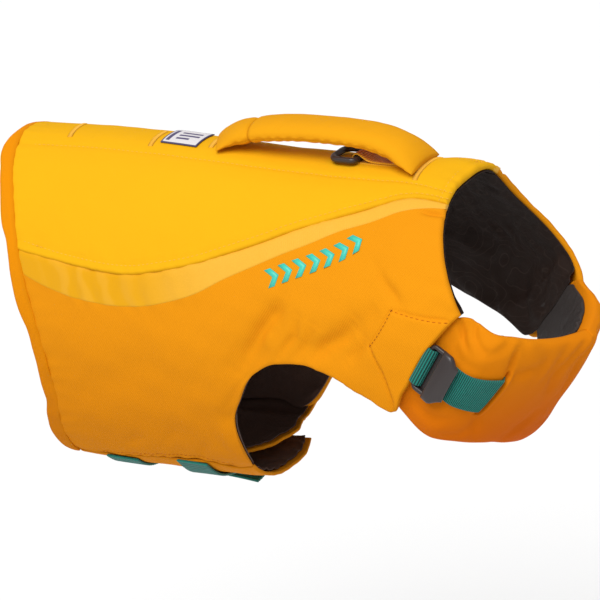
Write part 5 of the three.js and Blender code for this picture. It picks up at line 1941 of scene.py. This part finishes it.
class LIFEJACKET_OT_handle(bpy.types.Operator):
    """Makes the padded handle"""
    bl_idname = "lifejacket.handle"
    bl_label = "Handle"

    def execute(self, context):
        make_handle(context.scene.life_jacket)
        return {"FINISHED"}


class LIFEJACKET_OT_ring(bpy.types.Operator):
    """Makes the leash ring"""
    bl_idname = "lifejacket.ring"
    bl_label = "Leash ring"

    def execute(self, context):
        make_ring()
        return {"FINISHED"}


class LIFEJACKET_OT_leash_loop(bpy.types.Operator):
    """Makes the webbing loop of the leash ring"""
    bl_idname = "lifejacket.leash_loop"
    bl_label = "Leash loop"

    def execute(self, context):
        make_leash_loop()
        return {"FINISHED"}


class LIFEJACKET_OT_label(bpy.types.Operator):
    """Makes the woven label"""
    bl_idname = "lifejacket.label"
    bl_label = "Label"

    def execute(self, context):
        make_label(context.scene.life_jacket)
        return {"FINISHED"}


class LIFEJACKET_OT_stitches(bpy.types.Operator):
    """Makes the rows of stitches"""
    bl_idname = "lifejacket.stitches"
    bl_label = "Stitching"

    def execute(self, context):
        make_stitches(context.scene.life_jacket)
        return {"FINISHED"}


class LIFEJACKET_OT_chevrons(bpy.types.Operator):
    """Makes the raised row of chevrons"""
    bl_idname = "lifejacket.chevrons"
    bl_label = "Chevrons"

    def execute(self, context):
        make_chevrons(context.scene.life_jacket)
        return {"FINISHED"}


OPERATORS = (
    LIFEJACKET_OT_stage,
    LIFEJACKET_OT_finishes,
    LIFEJACKET_OT_back,
    LIFEJACKET_OT_sides,
    LIFEJACKET_OT_linings,
    LIFEJACKET_OT_flaps,
    LIFEJACKET_OT_hem,
    LIFEJACKET_OT_pad,
    LIFEJACKET_OT_chest_strap,
    LIFEJACKET_OT_slider,
    LIFEJACKET_OT_chest_loop,
    LIFEJACKET_OT_belly_straps,
    LIFEJACKET_OT_buckles,
    LIFEJACKET_OT_handle,
    LIFEJACKET_OT_ring,
    LIFEJACKET_OT_leash_loop,
    LIFEJACKET_OT_label,
    LIFEJACKET_OT_stitches,
    LIFEJACKET_OT_chevrons,
)


class LIFEJACKET_PT_panel(bpy.types.Panel):
    """Lists the parts of the life jacket and its colours."""

    bl_label = "Life jacket"
    bl_idname = "LIFEJACKET_PT_panel"
    bl_space_type = "VIEW_3D"
    bl_region_type = "UI"
    bl_category = "Life jacket"

    def draw(self, context):
        look = context.scene.life_jacket
        for name in LifeJacketLook.__annotations__:
            self.layout.prop(look, name)
        for operator in OPERATORS:
            self.layout.operator(operator.bl_idname)


CLASSES = (LifeJacketLook, *OPERATORS, LIFEJACKET_PT_panel)


def register():
    for cls in CLASSES:
        bpy.utils.register_class(cls)
    bpy.types.Scene.life_jacket = PointerProperty(type=LifeJacketLook)


def unregister():
    del bpy.types.Scene.life_jacket
    for cls in reversed(CLASSES):
        bpy.utils.unregister_class(cls)


def main():
    register()
    for operator in OPERATORS:
        getattr(bpy.ops.lifejacket, operator.bl_idname.split(".")[1])()


if __name__ == "__main__":
    main()
